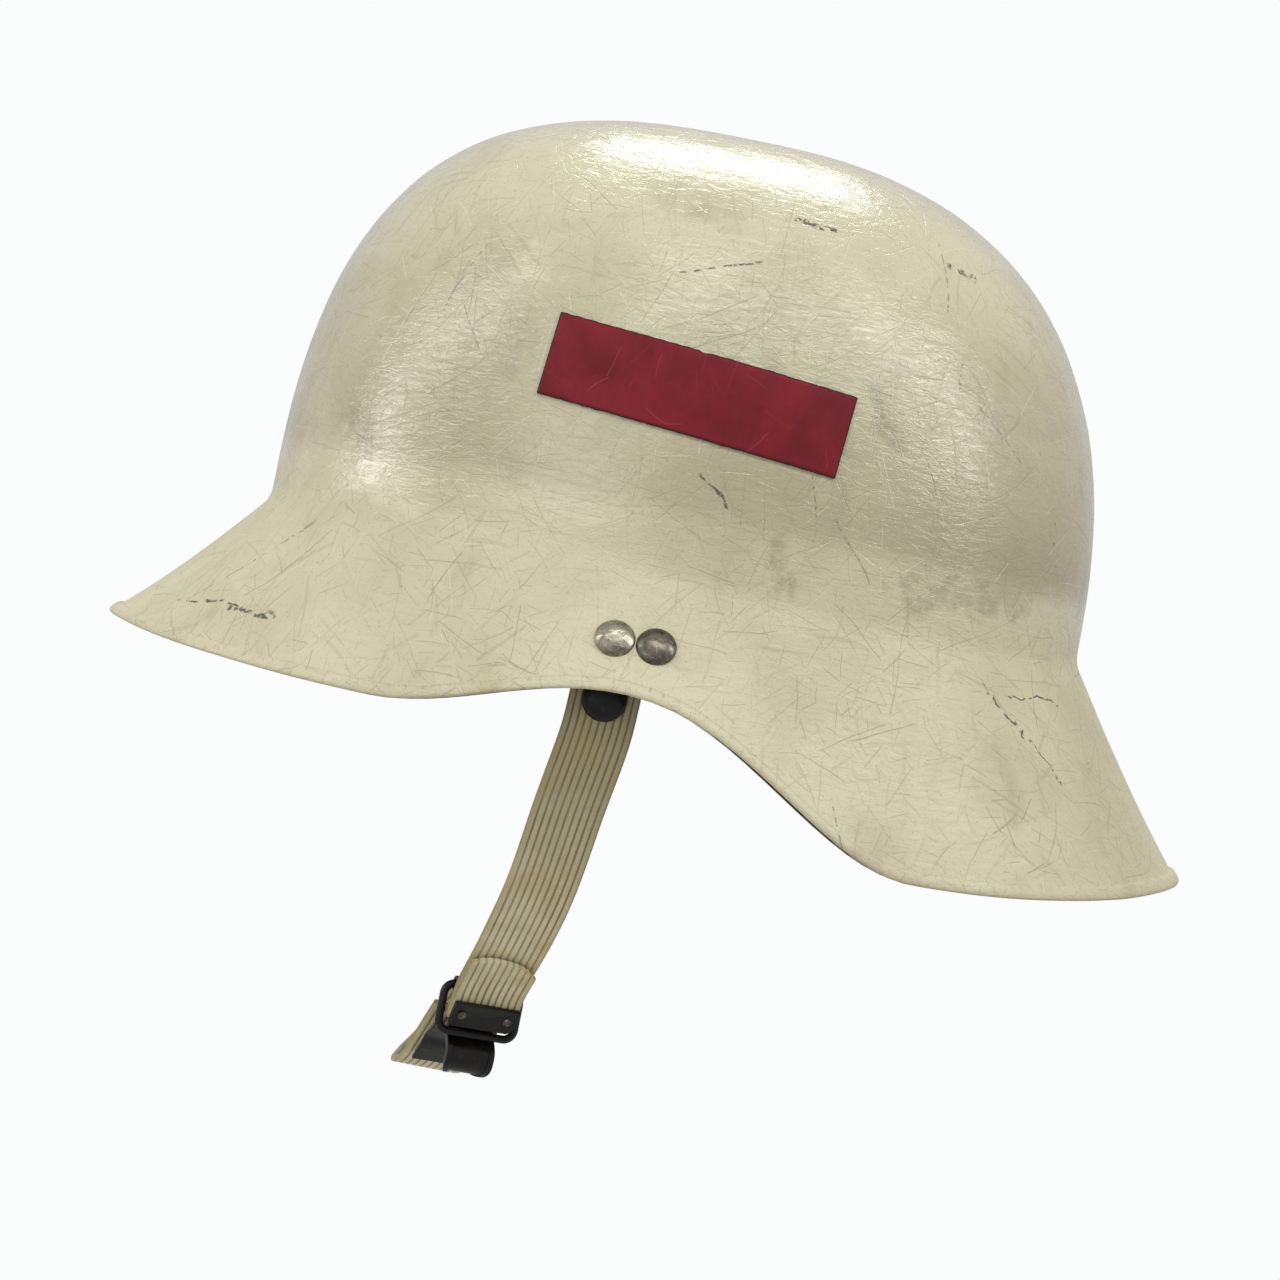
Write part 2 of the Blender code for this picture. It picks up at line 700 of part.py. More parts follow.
def make_stud(name, matrix, head, back):
    """A two-headed press stud; head and back are the faces it clamps."""
    profile = [
        (0.0, head + STUD_CAP),
        (STUD_HEAD * 0.75, head + STUD_CAP * 0.8),
        (STUD_HEAD, head),
        (STUD_SHANK, head),
        (STUD_SHANK, back),
        (STUD_HEAD, back),
        (STUD_HEAD * 0.75, back - STUD_CAP * 0.8),
        (0.0, back - STUD_CAP),
    ]
    turned(name, profile, "nickel", matrix, steps=14)


def hoop_frame(angle, height):
    """Placement on the hoop's inner face: Z outward across it, X along it."""
    inner = Vector((*hoop_point(angle, HOOP_WALL), height))
    step = math.radians(0.5)
    ahead = Vector((*hoop_point(angle + step, HOOP_WALL), height))
    behind = Vector((*hoop_point(angle - step, HOOP_WALL), height))
    along = (ahead - behind).normalized()
    outward = along.cross(Vector((0.0, 0.0, 1.0)))
    if outward.dot(inner) < 0:
        outward.negate()
    return frame_at(inner, outward, along)


def crown_path(angle, level):
    """Centre line of half a crown strap, from the middle down to its end on the hoop."""
    frame = hoop_frame(angle, CROWN_LOW)
    foot = frame.translation - frame.col[2].to_3d() * (CROWN_REST + CROWN_WALL / 2)
    radius = math.hypot(foot.x, foot.y)
    heading = Vector((foot.x, foot.y, 0.0)).normalized()
    rise = level - CROWN_SPRING
    path = [Vector((0.0, 0.0, level))]
    steps = 9
    for i in range(steps + 1):
        turn = math.pi / 2 * i / steps
        out = CROWN_FLAT + (radius - CROWN_FLAT) * math.sin(turn) ** (2.0 / CROWN_POWER)
        up = CROWN_SPRING + rise * max(math.cos(turn), 0.0) ** (2.0 / CROWN_POWER)
        path.append(heading * out + Vector((0.0, 0.0, up)))
    path.append(heading * radius + Vector((0.0, 0.0, CROWN_LOW)))
    return path, frame.col[0].to_3d()


def make_crown_strap(number, degrees, hoop):
    """One strap over the head and the two studs that hold its ends on the hoop."""
    level = CROWN_HEIGHT + (number - 1) * (CROWN_WALL + GAP)
    first, along = crown_path(math.radians(degrees), level)
    second, _ = crown_path(math.radians(degrees + 180.0), level)
    route = first[::-1] + second[1:]
    bm = bmesh.new()
    rows = []
    for point in route:
        half = along * CROWN_WIDTH / 2
        rows.append([bm.verts.new(point - half), bm.verts.new(point + half)])
    for low, high in zip(rows, rows[1:]):
        bm.faces.new((low[0], low[1], high[1], high[0]))
    bmesh.ops.recalc_face_normals(bm, faces=bm.faces[:])
    strap = place("crown_strap_%d" % number, bm, "webbing")
    thicken(strap, CROWN_WALL)
    for turn, end in ((degrees, "a"), (degrees + 180.0, "b")):
        frame = hoop_frame(math.radians(turn), CROWN_STUD_Z)
        name = "%d%s" % (number, end)
        for part, label in ((hoop, "hoop_hole_"), (strap, "strap_hole_")):
            drill(part, label + name, frame, STUD_SHANK + RUN_CLEARANCE)
        head = HOOP_WALL + GAP
        if abs(math.cos(math.radians(turn))) < 0.01:
            head = LEG_Y + BRACKET_WALL / 2 - (HOOP_WIDTH - HOOP_WALL) + GAP
        make_stud("crown_stud_" + name, frame, head, -(CROWN_REST + CROWN_WALL + GAP))


def make_crown_pad():
    """A soft round pad under the crossing of the crown straps."""
    top = CROWN_HEIGHT - CROWN_WALL / 2 - GAP
    profile = [
        (0.0, 0.0),
        (PAD_RADIUS * 0.55, 0.0),
        (PAD_RADIUS * 0.9, -PAD_WALL * 0.25),
        (PAD_RADIUS, -PAD_WALL * 0.55),
        (PAD_RADIUS * 0.9, -PAD_WALL * 0.9),
        (PAD_RADIUS * 0.5, -PAD_WALL),
        (0.0, -PAD_WALL),
    ]
    matrix = Matrix.Translation((0.0, 0.0, top))
    turned("crown_pad", profile, "pad_foam", matrix, steps=24)


def make_buffers():
    """Rubber buffers between the hoop and the dome wall."""
    height = HOOP_HIGH - HOOP_LOW - 2 * BUFFER_TRIM
    middle = (HOOP_HIGH + HOOP_LOW) / 2
    for number, degrees in enumerate(BUFFER_ANGLES, 1):
        angle = math.radians(degrees)
        frame = hoop_frame(angle, middle)
        wall_x, wall_y = plan_curve(
            angle, DOME_FRONT - SHELL_WALL, DOME_REAR - SHELL_WALL,
            DOME_SIDE - SHELL_WALL, PLAN_POWER,
        )
        outward = frame.col[2].to_3d()
        room = (Vector((wall_x, wall_y, middle)) - frame.translation).dot(outward)
        depth = room - HOOP_WALL - 2 * BUFFER_GAP
        centre = frame @ Matrix.Translation((0.0, 0.0, HOOP_WALL + BUFFER_GAP + depth / 2))
        size = (BUFFER_WIDTH, height, depth)
        name = "rubber_buffer_%d" % number
        part = place(name, block(size), "buffer_rubber", centre, smooth=False)
        edge = part.modifiers.new("round", "BEVEL")
        edge.width = BUFFER_ROUND
        edge.segments = 1


def make_spacer(word, base, outward, start, end):
    """One plug along a direction, clear of the band at its start and the hoop at its end."""
    length = end - start - 2 * GAP - SPACER_SLACK
    centre = base + outward * (start + GAP + length / 2)
    matrix = frame_at(centre, outward, Vector((0.0, 0.0, 1.0)))
    place("band_spacer_" + word, rod(SPACER_RADIUS, length, 16), "buffer_rubber", matrix)


def make_spacers():
    """Short plugs that hold the headband off the hoop, one in front and one each side."""
    inner_length = HOOP_LENGTH - HOOP_WALL
    inner_width = HOOP_WIDTH - HOOP_WALL
    front = Vector((-1.0, 0.0, 0.0))
    make_spacer("front", Vector((0.0, 0.0, SPACER_Z)), front, BAND_FRONT + BAND_WALL / 2, inner_length)
    share = (abs(SPACER_X) + SPACER_RADIUS) / inner_length
    reach = inner_width * (1 - share ** HOOP_POWER) ** (1 / HOOP_POWER)
    for side, word in ((-1.0, "left"), (1.0, "right")):
        base = Vector((SPACER_X, 0.0, SPACER_Z))
        make_spacer(word, base, Vector((0.0, side, 0.0)), BAND_SIDE + BAND_WALL / 2, reach)


# ---------------------------------------------------------------- chin strap


def buckle_matrix():
    """Local frame of the buckle: X across the strap, -Y outward, +Z up the strap."""
    turn = Matrix.Rotation(BUCKLE_YAW, 4, "Z") @ Matrix.Rotation(BUCKLE_TILT, 4, "X")
    return Matrix.Translation(BUCKLE_CENTRE) @ turn


BUCKLE = buckle_matrix()


def at_buckle(x, y, z):
    """A buckle point in world space."""
    return BUCKLE @ Vector((x, y, z))


def smooth_route(stations, spacing):
    """Points along a smooth curve through the stations, about evenly spaced."""
    padded = [stations[0] * 2 - stations[1]] + stations + [stations[-1] * 2 - stations[-2]]
    route = []
    for a, b, c, d in zip(padded, padded[1:], padded[2:], padded[3:]):
        steps = max(1, round((c - b).length / spacing))
        for i in range(steps):
            t = i / steps
            route.append(0.5 * (
                2 * b + (c - a) * t
                + (2 * a - 5 * b + 4 * c - d) * t ** 2
                + (3 * b - a - 3 * c + d) * t ** 3
            ))
    route.append(stations[-1].copy())
    return route


def strap_yaw(y):
    """Turn of the strap's width about Z, full at the buckle and none at the buttons."""
    side = -math.copysign(1.0, y)
    reach = abs(BUCKLE_CENTRE.y)
    widest = STRAP_ROUTE[0][1]
    if abs(y) < reach:
        share = abs(y) / reach
    else:
        share = max(0.0, (widest - abs(y)) / (widest - reach))
    return side * BUCKLE_YAW * share


def ribbon_frames(route):
    """For each route point: the point, its width direction and its outward direction."""
    frames = []
    for i, point in enumerate(route):
        ahead = route[min(i + 1, len(route) - 1)]
        behind = route[max(i - 1, 0)]
        tangent = (ahead - behind).normalized()
        yaw = strap_yaw(point.y)
        width = Vector((math.cos(yaw), math.sin(yaw), 0.0))
        width = (width - tangent * width.dot(tangent)).normalized()
        outward = tangent.cross(width).normalized()
        frames.append((point, width, outward))
    return frames


def ribbon(frames, width):
    """An open sheet through frames of (point, width direction, outward direction)."""
    bm = bmesh.new()
    rows = []
    for point, across, _ in frames:
        half = across * width / 2
        rows.append((bm.verts.new(point - half), bm.verts.new(point + half)))
    for low, high in zip(rows, rows[1:]):
        bm.faces.new((low[0], low[1], high[1], high[0]))
    bmesh.ops.recalc_face_normals(bm, faces=bm.faces[:])
    return bm


def side_stations(side):
    """Strap centre stations from above the button down the side of the face."""
    strap_y = LEG_Y + BRACKET_WALL / 2 + GAP + STRAP_WALL / 2
    top = Vector((PIVOT_X, side * strap_y, PIVOT_Z + STRAP_ABOVE_PIVOT))
    pivot = Vector((PIVOT_X, side * strap_y, PIVOT_Z))
    stations = [top, pivot]
    for x, y, depth in STRAP_ROUTE:
        stations.append(Vector((x, side * y, PIVOT_Z - depth)))
    return stations


def pivot_hole(strap, side, word):
    """The strap's round hole over its button."""
    matrix = frame_at(Vector((PIVOT_X, side * LEG_Y, PIVOT_Z)), Vector((0.0, side, 0.0)))
    drill(strap, "strap_eye_" + word, matrix, BUTTON_SHANK + RUN_CLEARANCE)


def make_left_strap():
    """The left strap: down to the buckle, round the fold, and the tail back up outside."""
    stations = side_stations(-1)
    stations += [at_buckle(0, 0, level) for level in (*BUCKLE_LEAD, FOLD_LEVEL)]
    frames = ribbon_frames(smooth_route(stations, 7.0 * MM))
    across = BUCKLE.col[0].to_3d()
    bend = []
    radius = FOLD_PITCH / 2
    for degrees in (45.0, 90.0, 135.0):
        turn = math.radians(degrees)
        y = -radius + radius * math.cos(turn)
        bend.append((at_buckle(0, y, FOLD_LEVEL - radius * math.sin(turn)), across, None))
    tail = []
    length = 0.0
    last = None
    for point, width, outward in reversed(frames):
        if outward.y > 0:
            outward = -outward
        spot = point + outward * FOLD_PITCH
        if last is not None:
            length += (spot - last).length
        if length > TAIL_LENGTH:
            break
        tail.append((spot, width, outward))
        last = spot
    strap = place("chin_strap_left", ribbon(frames + bend + tail, STRAP_WIDTH), "strap_vinyl")
    thicken(strap, STRAP_WALL)
    pivot_hole(strap, -1, "left")
    for word, x in (("front", -BUCKLE_RIVET_X), ("rear", BUCKLE_RIVET_X)):
        matrix = BUCKLE @ frame_at(Vector((x, 0.0, 0.0)), Vector((0.0, -1.0, 0.0)))
        drill(strap, "buckle_eye_" + word, matrix, BUCKLE_RIVET_SHANK + RUN_CLEARANCE)


def right_stations():
    """The right strap's stations: down the right side and under the chin to the hook."""
    stations = side_stations(1)
    stations += [Vector((x, y, PIVOT_Z - depth)) for x, y, depth in CHIN_ROUTE]
    behind = SLEEVE_RADIUS * 2 + BACK_WALL + STRAP_WALL + TONGUE_ROOM
    stations.append(at_buckle(0, behind, -TONGUE_BELOW))
    return stations


def make_right_strap():
    """The right strap, which ends on the hook plate below the buckle."""
    frames = ribbon_frames(smooth_route(right_stations(), 7.0 * MM))
    strap = place("chin_strap_right", ribbon(frames, STRAP_WIDTH), "strap_vinyl")
    thicken(strap, STRAP_WALL)
    pivot_hole(strap, 1, "right")
    return frames


def sleeve_centre():
    """Distance of the ring's pivot behind the strap's middle."""
    return STRAP_WALL / 2 + GAP + BACK_WALL + SLEEVE_RADIUS - SLEEVE_BITE


def make_buckle_plates():
    """The face plate, the back plate with its sleeve, and the two rivets through them."""
    face_inner = -(FOLD_PITCH + STRAP_WALL / 2 + GAP)
    face_outer = face_inner - PLATE_WALL
    half_width = STRAP_WIDTH / 2
    face = place(
        "buckle_plate",
        block((2 * half_width, PLATE_WALL, 2 * PLATE_HALF_HEIGHT)),
        "black_plastic",
        BUCKLE @ Matrix.Translation((0.0, (face_inner + face_outer) / 2, 0.0)),
        smooth=False,
    )
    back_outer = STRAP_WALL / 2 + GAP
    back_inner = back_outer + BACK_WALL
    back = place(
        "buckle_back_plate",
        block((2 * BACK_HALF_WIDTH, BACK_WALL, 2 * PLATE_HALF_HEIGHT)),
        "black_plastic",
        BUCKLE @ Matrix.Translation((0.0, (back_outer + back_inner) / 2, 0.0)),
        smooth=False,
    )
    axis = BUCKLE @ frame_at(Vector((0.0, sleeve_centre(), SLEEVE_Z)), Vector((1.0, 0.0, 0.0)),
                             Vector((0.0, 0.0, 1.0)))
    sleeve = tool_object("ring_sleeve", rod(SLEEVE_RADIUS, 2 * BACK_HALF_WIDTH), axis)
    combine(back, sleeve, "UNION")
    drill(back, "ring_bore", axis, RING_BAR + RUN_CLEARANCE, 40.0 * MM)
    for word, x in (("front", -BUCKLE_RIVET_X), ("rear", BUCKLE_RIVET_X)):
        matrix = BUCKLE @ frame_at(Vector((x, 0.0, 0.0)), Vector((0.0, -1.0, 0.0)))
        hole = BUCKLE_RIVET_SHANK + RUN_CLEARANCE
        drill(face, "plate_hole_" + word, matrix, hole)
        drill(back, "back_hole_" + word, matrix, hole)
        head = -face_outer + GAP
        tail = -back_inner - GAP
        profile = [
            (0.0, head + BUCKLE_RIVET_CAP),
            (BUCKLE_RIVET_HEAD * 0.8, head + BUCKLE_RIVET_CAP * 0.7),
            (BUCKLE_RIVET_HEAD, head),
            (BUCKLE_RIVET_SHANK, head),
            (BUCKLE_RIVET_SHANK, tail),
            (BUCKLE_RIVET_HEAD, tail),
            (BUCKLE_RIVET_HEAD * 0.8, tail - BUCKLE_RIVET_CAP),
            (0.0, tail - BUCKLE_RIVET_CAP),
        ]
        turned("buckle_rivet_" + word, profile, "black_plastic", matrix, steps=12)


def curve_mesh_object(name, curve_data, slot, matrix):
    """A curve turned into a welded mesh part."""
    holder = bpy.data.objects.new(name + "_curve", curve_data)
    PARTS.objects.link(holder)
    bpy.context.view_layer.update()
    graph = bpy.context.evaluated_depsgraph_get()
    mesh = bpy.data.meshes.new_from_object(holder.evaluated_get(graph))
    bpy.data.objects.remove(holder, do_unlink=True)
    bm = bmesh.new()
    bm.from_mesh(mesh)
    bmesh.ops.remove_doubles(bm, verts=bm.verts[:], dist=0.00001)
    return place(name, bm, slot, matrix)


def make_ring():
    """The oval swing ring, whose upper bar turns in the back plate's sleeve."""
    half_width = STRAP_WIDTH / 2 + RING_SIDE_GAP + RING_BAR
    length = math.hypot(RING_REACH, RING_DROP)
    line = []
    spots = ((1, 0, 0), (1, -1, -90), (-1, -1, -180), (-1, 0, -270))
    for way, level, start in spots:
        centre_x = way * (half_width - RING_CORNER)
        centre_z = -RING_CORNER if level == 0 else -length + RING_CORNER
        for step in (0.0, 30.0, 60.0, 90.0):
            turn = math.radians(start + 90.0 - step)
            x = centre_x + RING_CORNER * math.cos(turn)
            line.append((x, centre_z + RING_CORNER * math.sin(turn)))
    curve = bpy.data.curves.new("ring_line", "CURVE")
    curve.dimensions = "3D"
    curve.bevel_depth = RING_BAR
    curve.bevel_resolution = 2
    spline = curve.splines.new("POLY")
    spline.points.add(len(line) - 1)
    for point, (x, z) in zip(spline.points, line):
        point.co = (x, 0.0, z, 1.0)
    spline.use_cyclic_u = True
    swing = Matrix.Rotation(-math.atan2(RING_REACH, RING_DROP), 4, "X")
    pivot = Matrix.Translation((0.0, sleeve_centre(), SLEEVE_Z))
    curve_mesh_object("buckle_ring", curve, "black_plastic", BUCKLE @ pivot @ swing)


def make_hook(strap_frames):
    """The hook plate under the chin, its lip behind the ring and its rounded finger tab."""
    lift = STRAP_WALL / 2 + GAP + HOOK_WALL / 2
    plate = []
    anchor = at_buckle(0, 0, -HOOK_ANCHOR)
    for point, width, outward in strap_frames:
        down = outward if outward.z < 0 else -outward
        if point.y > 0 or point.z > anchor.z + HOOK_LEAD:
            continue
        if (point - anchor).length < HOOK_PLATE_LENGTH:
            plate.append((point + down * lift, width, None))
    across = BUCKLE.col[0].to_3d()
    for y, z in HOOK_LIP:
        plate.append((at_buckle(0, y, z), across, None))
    hook = place("buckle_hook", ribbon(plate, HOOK_WIDTH), "black_plastic")
    thicken(hook, HOOK_WALL)
    tab = [(at_buckle(0, y, z), across, None) for y, z in FINGER_TAB]
    finger = tool_object("finger_tab", ribbon(tab, HOOK_WIDTH - TAB_TRIM), Matrix())
    thicken(finger, HOOK_WALL)
    combine(hook, finger, "UNION")


SHELL, SKIN = make_shell()
make_patch(SKIN, -1, "left")
make_patch(SKIN, 1, "right")
make_bracket(SKIN, SHELL, -1, "left")
make_bracket(SKIN, SHELL, 1, "right")
HOOP = make_hoop()
make_headband()
make_sweatband()
make_nape_band()
for index, strap_angle in enumerate(STRAP_ANGLES, 1):
    make_crown_strap(index, strap_angle, HOOP)
make_crown_pad()
make_buffers()
make_spacers()
make_left_strap()
RIGHT_FRAMES = make_right_strap()
make_buckle_plates()
make_ring()
make_hook(RIGHT_FRAMES)
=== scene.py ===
# %% [markdown]
# # A broad-brimmed fire helmet, worn and buckled
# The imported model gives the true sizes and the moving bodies. These cells build the
# finish on top of it: the moulded shell, its fittings, the ribbed chin strap with its
# buckle, and the cradle inside. Each cell makes one piece or one finish.

# %% Load the frame and keep the box of the plain model
import json
import math

import bmesh
import bpy
from mathutils import Matrix, Vector, noise
from mathutils.bvhtree import BVHTree

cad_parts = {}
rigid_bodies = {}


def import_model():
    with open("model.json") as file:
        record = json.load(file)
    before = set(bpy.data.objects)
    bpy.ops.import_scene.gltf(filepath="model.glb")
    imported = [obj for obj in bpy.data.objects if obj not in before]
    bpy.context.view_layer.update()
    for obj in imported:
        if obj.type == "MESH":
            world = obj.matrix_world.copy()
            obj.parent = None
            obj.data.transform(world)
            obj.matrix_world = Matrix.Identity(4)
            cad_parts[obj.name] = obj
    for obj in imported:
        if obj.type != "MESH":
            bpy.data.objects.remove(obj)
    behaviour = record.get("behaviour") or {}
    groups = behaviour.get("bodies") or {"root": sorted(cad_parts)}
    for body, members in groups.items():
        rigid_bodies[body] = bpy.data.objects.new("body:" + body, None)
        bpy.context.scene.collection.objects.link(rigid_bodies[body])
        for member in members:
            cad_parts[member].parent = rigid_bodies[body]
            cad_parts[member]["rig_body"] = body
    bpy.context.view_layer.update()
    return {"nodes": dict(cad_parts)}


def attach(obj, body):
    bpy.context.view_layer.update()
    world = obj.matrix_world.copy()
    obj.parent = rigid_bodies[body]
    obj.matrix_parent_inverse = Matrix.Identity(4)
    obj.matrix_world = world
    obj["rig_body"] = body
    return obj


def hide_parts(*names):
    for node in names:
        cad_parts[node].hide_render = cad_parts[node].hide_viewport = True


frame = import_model()
MM = 0.001

# %% [markdown]
# ## Camera
# The helmet is seen square from the wearer's left, tipped back as a head wears it.
# The camera looks along +Y and is rolled about its own axis, so that the crease of the
# shell slopes down to the rear. A long lens keeps the ellipse of the rim shallow.

# %% Camera
ROLL = math.radians(11.6)
CAMERA_AWAY = 1.2
right = Vector((math.cos(ROLL), 0.0, math.sin(ROLL)))
up = Vector((-math.sin(ROLL), 0.0, math.cos(ROLL)))
back = right.cross(up)
camera = bpy.data.objects.new("camera", bpy.data.cameras.new("camera"))
turn = Matrix((right, up, back)).transposed().to_4x4()
camera.matrix_world = Matrix.Translation((-6.3 * MM, -CAMERA_AWAY, -18.6 * MM)) @ turn
camera.data.sensor_width = 36.0
camera.data.lens = 115.3
bpy.context.scene.collection.objects.link(camera)
bpy.context.scene.camera = camera
print("camera lens", camera.data.lens)

# %% [markdown]
# ## Helpers for meshes
# Almost every piece here is either turned (a profile spun about an axis) or drawn along
# a path (a cross-section extruded step by step). Both helpers store how far along and
# how far across each point lies, so that a weave or a groove can follow the piece.

# %% Finish a bmesh as a piece
def finish_piece(name, bm, body, material, smooth=40.0, merge=0.00001):
    if merge:
        bmesh.ops.remove_doubles(bm, verts=bm.verts[:], dist=merge)
    bmesh.ops.recalc_face_normals(bm, faces=bm.faces[:])
    mesh = bpy.data.meshes.new(name)
    bm.to_mesh(mesh)
    bm.free()
    mesh.shade_smooth()
    mesh.set_sharp_from_angle(angle=math.radians(smooth))
    piece = bpy.data.objects.new(name, mesh)
    bpy.context.scene.collection.objects.link(piece)
    piece.data.materials.append(material)
    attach(piece, body)
    return piece


# %% Turn a profile about an axis
def turned(profile, matrix, steps=48):
    bm = bmesh.new()
    line = [bm.verts.new((radius, 0.0, height)) for radius, height in profile]
    edges = [bm.edges.new(pair) for pair in zip(line, line[1:])]
    bmesh.ops.spin(
        bm, geom=line + edges, axis=(0, 0, 1), cent=(0, 0, 0),
        angle=math.tau, steps=steps, use_merge=True,
    )
    bmesh.ops.remove_doubles(bm, verts=bm.verts[:], dist=0.000005)
    bmesh.ops.transform(bm, matrix=matrix, verts=bm.verts[:])
    return bm


# %% Draw a cross-section along placements
def drawn(outline, places, closed=False, caps=True):
    bm = bmesh.new()
    along = bm.verts.layers.float.new("along")
    across = bm.verts.layers.float.new("across")
    first = []
    for x, y in outline:
        vert = bm.verts.new((x, y, 0.0))
        vert[across] = x
        first.append(vert)
    ring = [bm.edges.new(pair) for pair in zip(first, first[1:] + first[:1])]
    start_ring = list(ring)
    bmesh.ops.transform(bm, matrix=places[0], verts=first)
    distance = 0.0
    for before, after in zip(places, places[1:]):
        distance += (after.translation - before.translation).length
        grown = bmesh.ops.extrude_edge_only(bm, edges=ring)["geom"]
        verts = [item for item in grown if isinstance(item, bmesh.types.BMVert)]
        moved = set(verts)
        ring = [
            item for item in grown
            if isinstance(item, bmesh.types.BMEdge) and item.verts[0] in moved and item.verts[1] in moved
        ]
        bmesh.ops.transform(bm, matrix=after @ before.inverted(), verts=verts)
        for vert in verts:
            vert[along] = distance
    if caps and not closed:
        bmesh.ops.edgeloop_fill(bm, edges=start_ring)
        bmesh.ops.edgeloop_fill(bm, edges=ring)
    return bm


# %% Cross-sections and placements
def rounded_bar(width, height, corner, steps=4):
    points = []
    for cx, cy, start in ((1, 1, 0), (-1, 1, 90), (-1, -1, 180), (1, -1, 270)):
        for i in range(steps + 1):
            angle = math.radians(start + 90.0 * i / steps)
            x = cx * (width / 2 - corner) + corner * math.cos(angle)
            y = cy * (height / 2 - corner) + corner * math.sin(angle)
            points.append((x, y))
    return points


def round_bar(radius, steps=16):
    turns = [math.tau * i / steps for i in range(steps)]
    return [(radius * math.cos(turn), radius * math.sin(turn)) for turn in turns]


def placement(point, across, outward):
    """X runs across the piece, Y outward from its face and Z along it."""
    x_axis = across.normalized()
    y_axis = (outward - x_axis * outward.dot(x_axis)).normalized()
    z_axis = x_axis.cross(y_axis)
    return Matrix.Translation(point) @ Matrix((x_axis, y_axis, z_axis)).transposed().to_4x4()


def placement_along(point, outward, along=Vector((1.0, 0.0, 0.0))):
    """Z points outward, as on a rivet or a button, and X follows a direction."""
    z_axis = outward.normalized()
    x_axis = (along - z_axis * along.dot(z_axis)).normalized()
    y_axis = z_axis.cross(x_axis)
    return Matrix.Translation(point) @ Matrix((x_axis, y_axis, z_axis)).transposed().to_4x4()


def smooth_route(stations, spacing):
    """Even points on a smooth curve through the stations."""
    padded = [stations[0] * 2 - stations[1]] + stations + [stations[-1] * 2 - stations[-2]]
    route = []
    for a, b, c, d in zip(padded, padded[1:], padded[2:], padded[3:]):
        steps = max(1, round((c - b).length / spacing))
        for i in range(steps):
            t = i / steps
            route.append(0.5 * (
                2 * b + (c - a) * t
                + (2 * a - 5 * b + 4 * c - d) * t ** 2
                + (3 * b - a - 3 * c + d) * t ** 3
            ))
    route.append(stations[-1].copy())
    return route


print("helpers ready")

# %% [markdown]
# ## Helpers for finishes
# Every finish is a Principled shader fed by noise in the piece's own coordinates. A
# small wrapper keeps the node code short: it adds a node, sets its inputs, links it.

# %% A small node writer
class Finish:
    def __init__(self, name):
        self.material = bpy.data.materials.new(name)
        self.material.use_nodes = True
        self.tree = self.material.node_tree
        self.shader = self.tree.nodes["Principled BSDF"]
        self.place = self.add("ShaderNodeTexCoord").outputs["Object"]

    def add(self, kind, **settings):
        node = self.tree.nodes.new(kind)
        for key, value in settings.items():
            setattr(node, key, value)
        return node

    def put(self, socket, value):
        if isinstance(value, bpy.types.NodeSocket):
            self.tree.links.new(value, socket)
        else:
            socket.default_value = value

    def attribute(self, name):
        return self.add("ShaderNodeAttribute", attribute_name=name).outputs["Fac"]

    def math(self, operation, a, b=0.0, clamp=False):
        node = self.add("ShaderNodeMath", operation=operation, use_clamp=clamp)
        self.put(node.inputs[0], a)
        self.put(node.inputs[1], b)
        return node.outputs[0]

    def noise(self, scale, detail=4.0, rough=0.55, vector=None, warp=0.0, stretch=None):
        vector = vector or self.place
        if stretch:
            vector = self.stretched(vector, stretch)
        node = self.add("ShaderNodeTexNoise")
        self.put(node.inputs["Vector"], vector)
        self.put(node.inputs["Scale"], scale)
        self.put(node.inputs["Detail"], detail)
        self.put(node.inputs["Roughness"], rough)
        self.put(node.inputs["Distortion"], warp)
        return node.outputs["Fac"]

    def stretched(self, vector, size, spin=(0.0, 0.0, 0.0)):
        node = self.add("ShaderNodeMapping")
        self.put(node.inputs["Vector"], vector)
        node.inputs["Scale"].default_value = size
        node.inputs["Rotation"].default_value = [math.radians(angle) for angle in spin]
        return node.outputs["Vector"]

    def cells(self, scale, vector=None, feature="F1"):
        node = self.add("ShaderNodeTexVoronoi", feature=feature)
        self.put(node.inputs["Vector"], vector or self.place)
        self.put(node.inputs["Scale"], scale)
        return node

    def steps(self, value, low, high, out_low=0.0, out_high=1.0):
        node = self.add("ShaderNodeMapRange", interpolation_type="SMOOTHSTEP")
        self.put(node.inputs["Value"], value)
        self.put(node.inputs["From Min"], low)
        self.put(node.inputs["From Max"], high)
        self.put(node.inputs["To Min"], out_low)
        self.put(node.inputs["To Max"], out_high)
        return node.outputs["Result"]

    def opaque(self, colour):
        """A plain colour with full alpha. A socket is passed through."""
        return (*colour, 1.0) if isinstance(colour, tuple) else colour

    def beat(self, value, period):
        """A sawtooth from -0.5 to 0.5 that repeats every period."""
        share = self.math("FRACT", self.math("MULTIPLY", value, 1.0 / period))
        return self.math("SUBTRACT", share, 0.5)

    def mix(self, share, a, b, blend="MIX"):
        node = self.add("ShaderNodeMix", data_type="RGBA", blend_type=blend)
        self.put(node.inputs["Factor"], share)
        self.put(node.inputs["A"], self.opaque(a))
        self.put(node.inputs["B"], self.opaque(b))
        return node.outputs["Result"]

    def bump(self, height, distance, strength=1.0, below=None):
        node = self.add("ShaderNodeBump")
        self.put(node.inputs["Height"], height)
        self.put(node.inputs["Distance"], distance)
        self.put(node.inputs["Strength"], strength)
        if below is not None:
            self.put(node.inputs["Normal"], below)
        return node.outputs["Normal"]

    def done(self, colour, rough, normal=None, **constants):
        self.put(self.shader.inputs["Base Color"], self.opaque(colour))
        self.put(self.shader.inputs["Roughness"], rough)
        if normal is not None:
            self.put(self.shader.inputs["Normal"], normal)
        for name, value in constants.items():
            self.shader.inputs[name.replace("_", " ")].default_value = value
        return self.material


print("node writer ready")

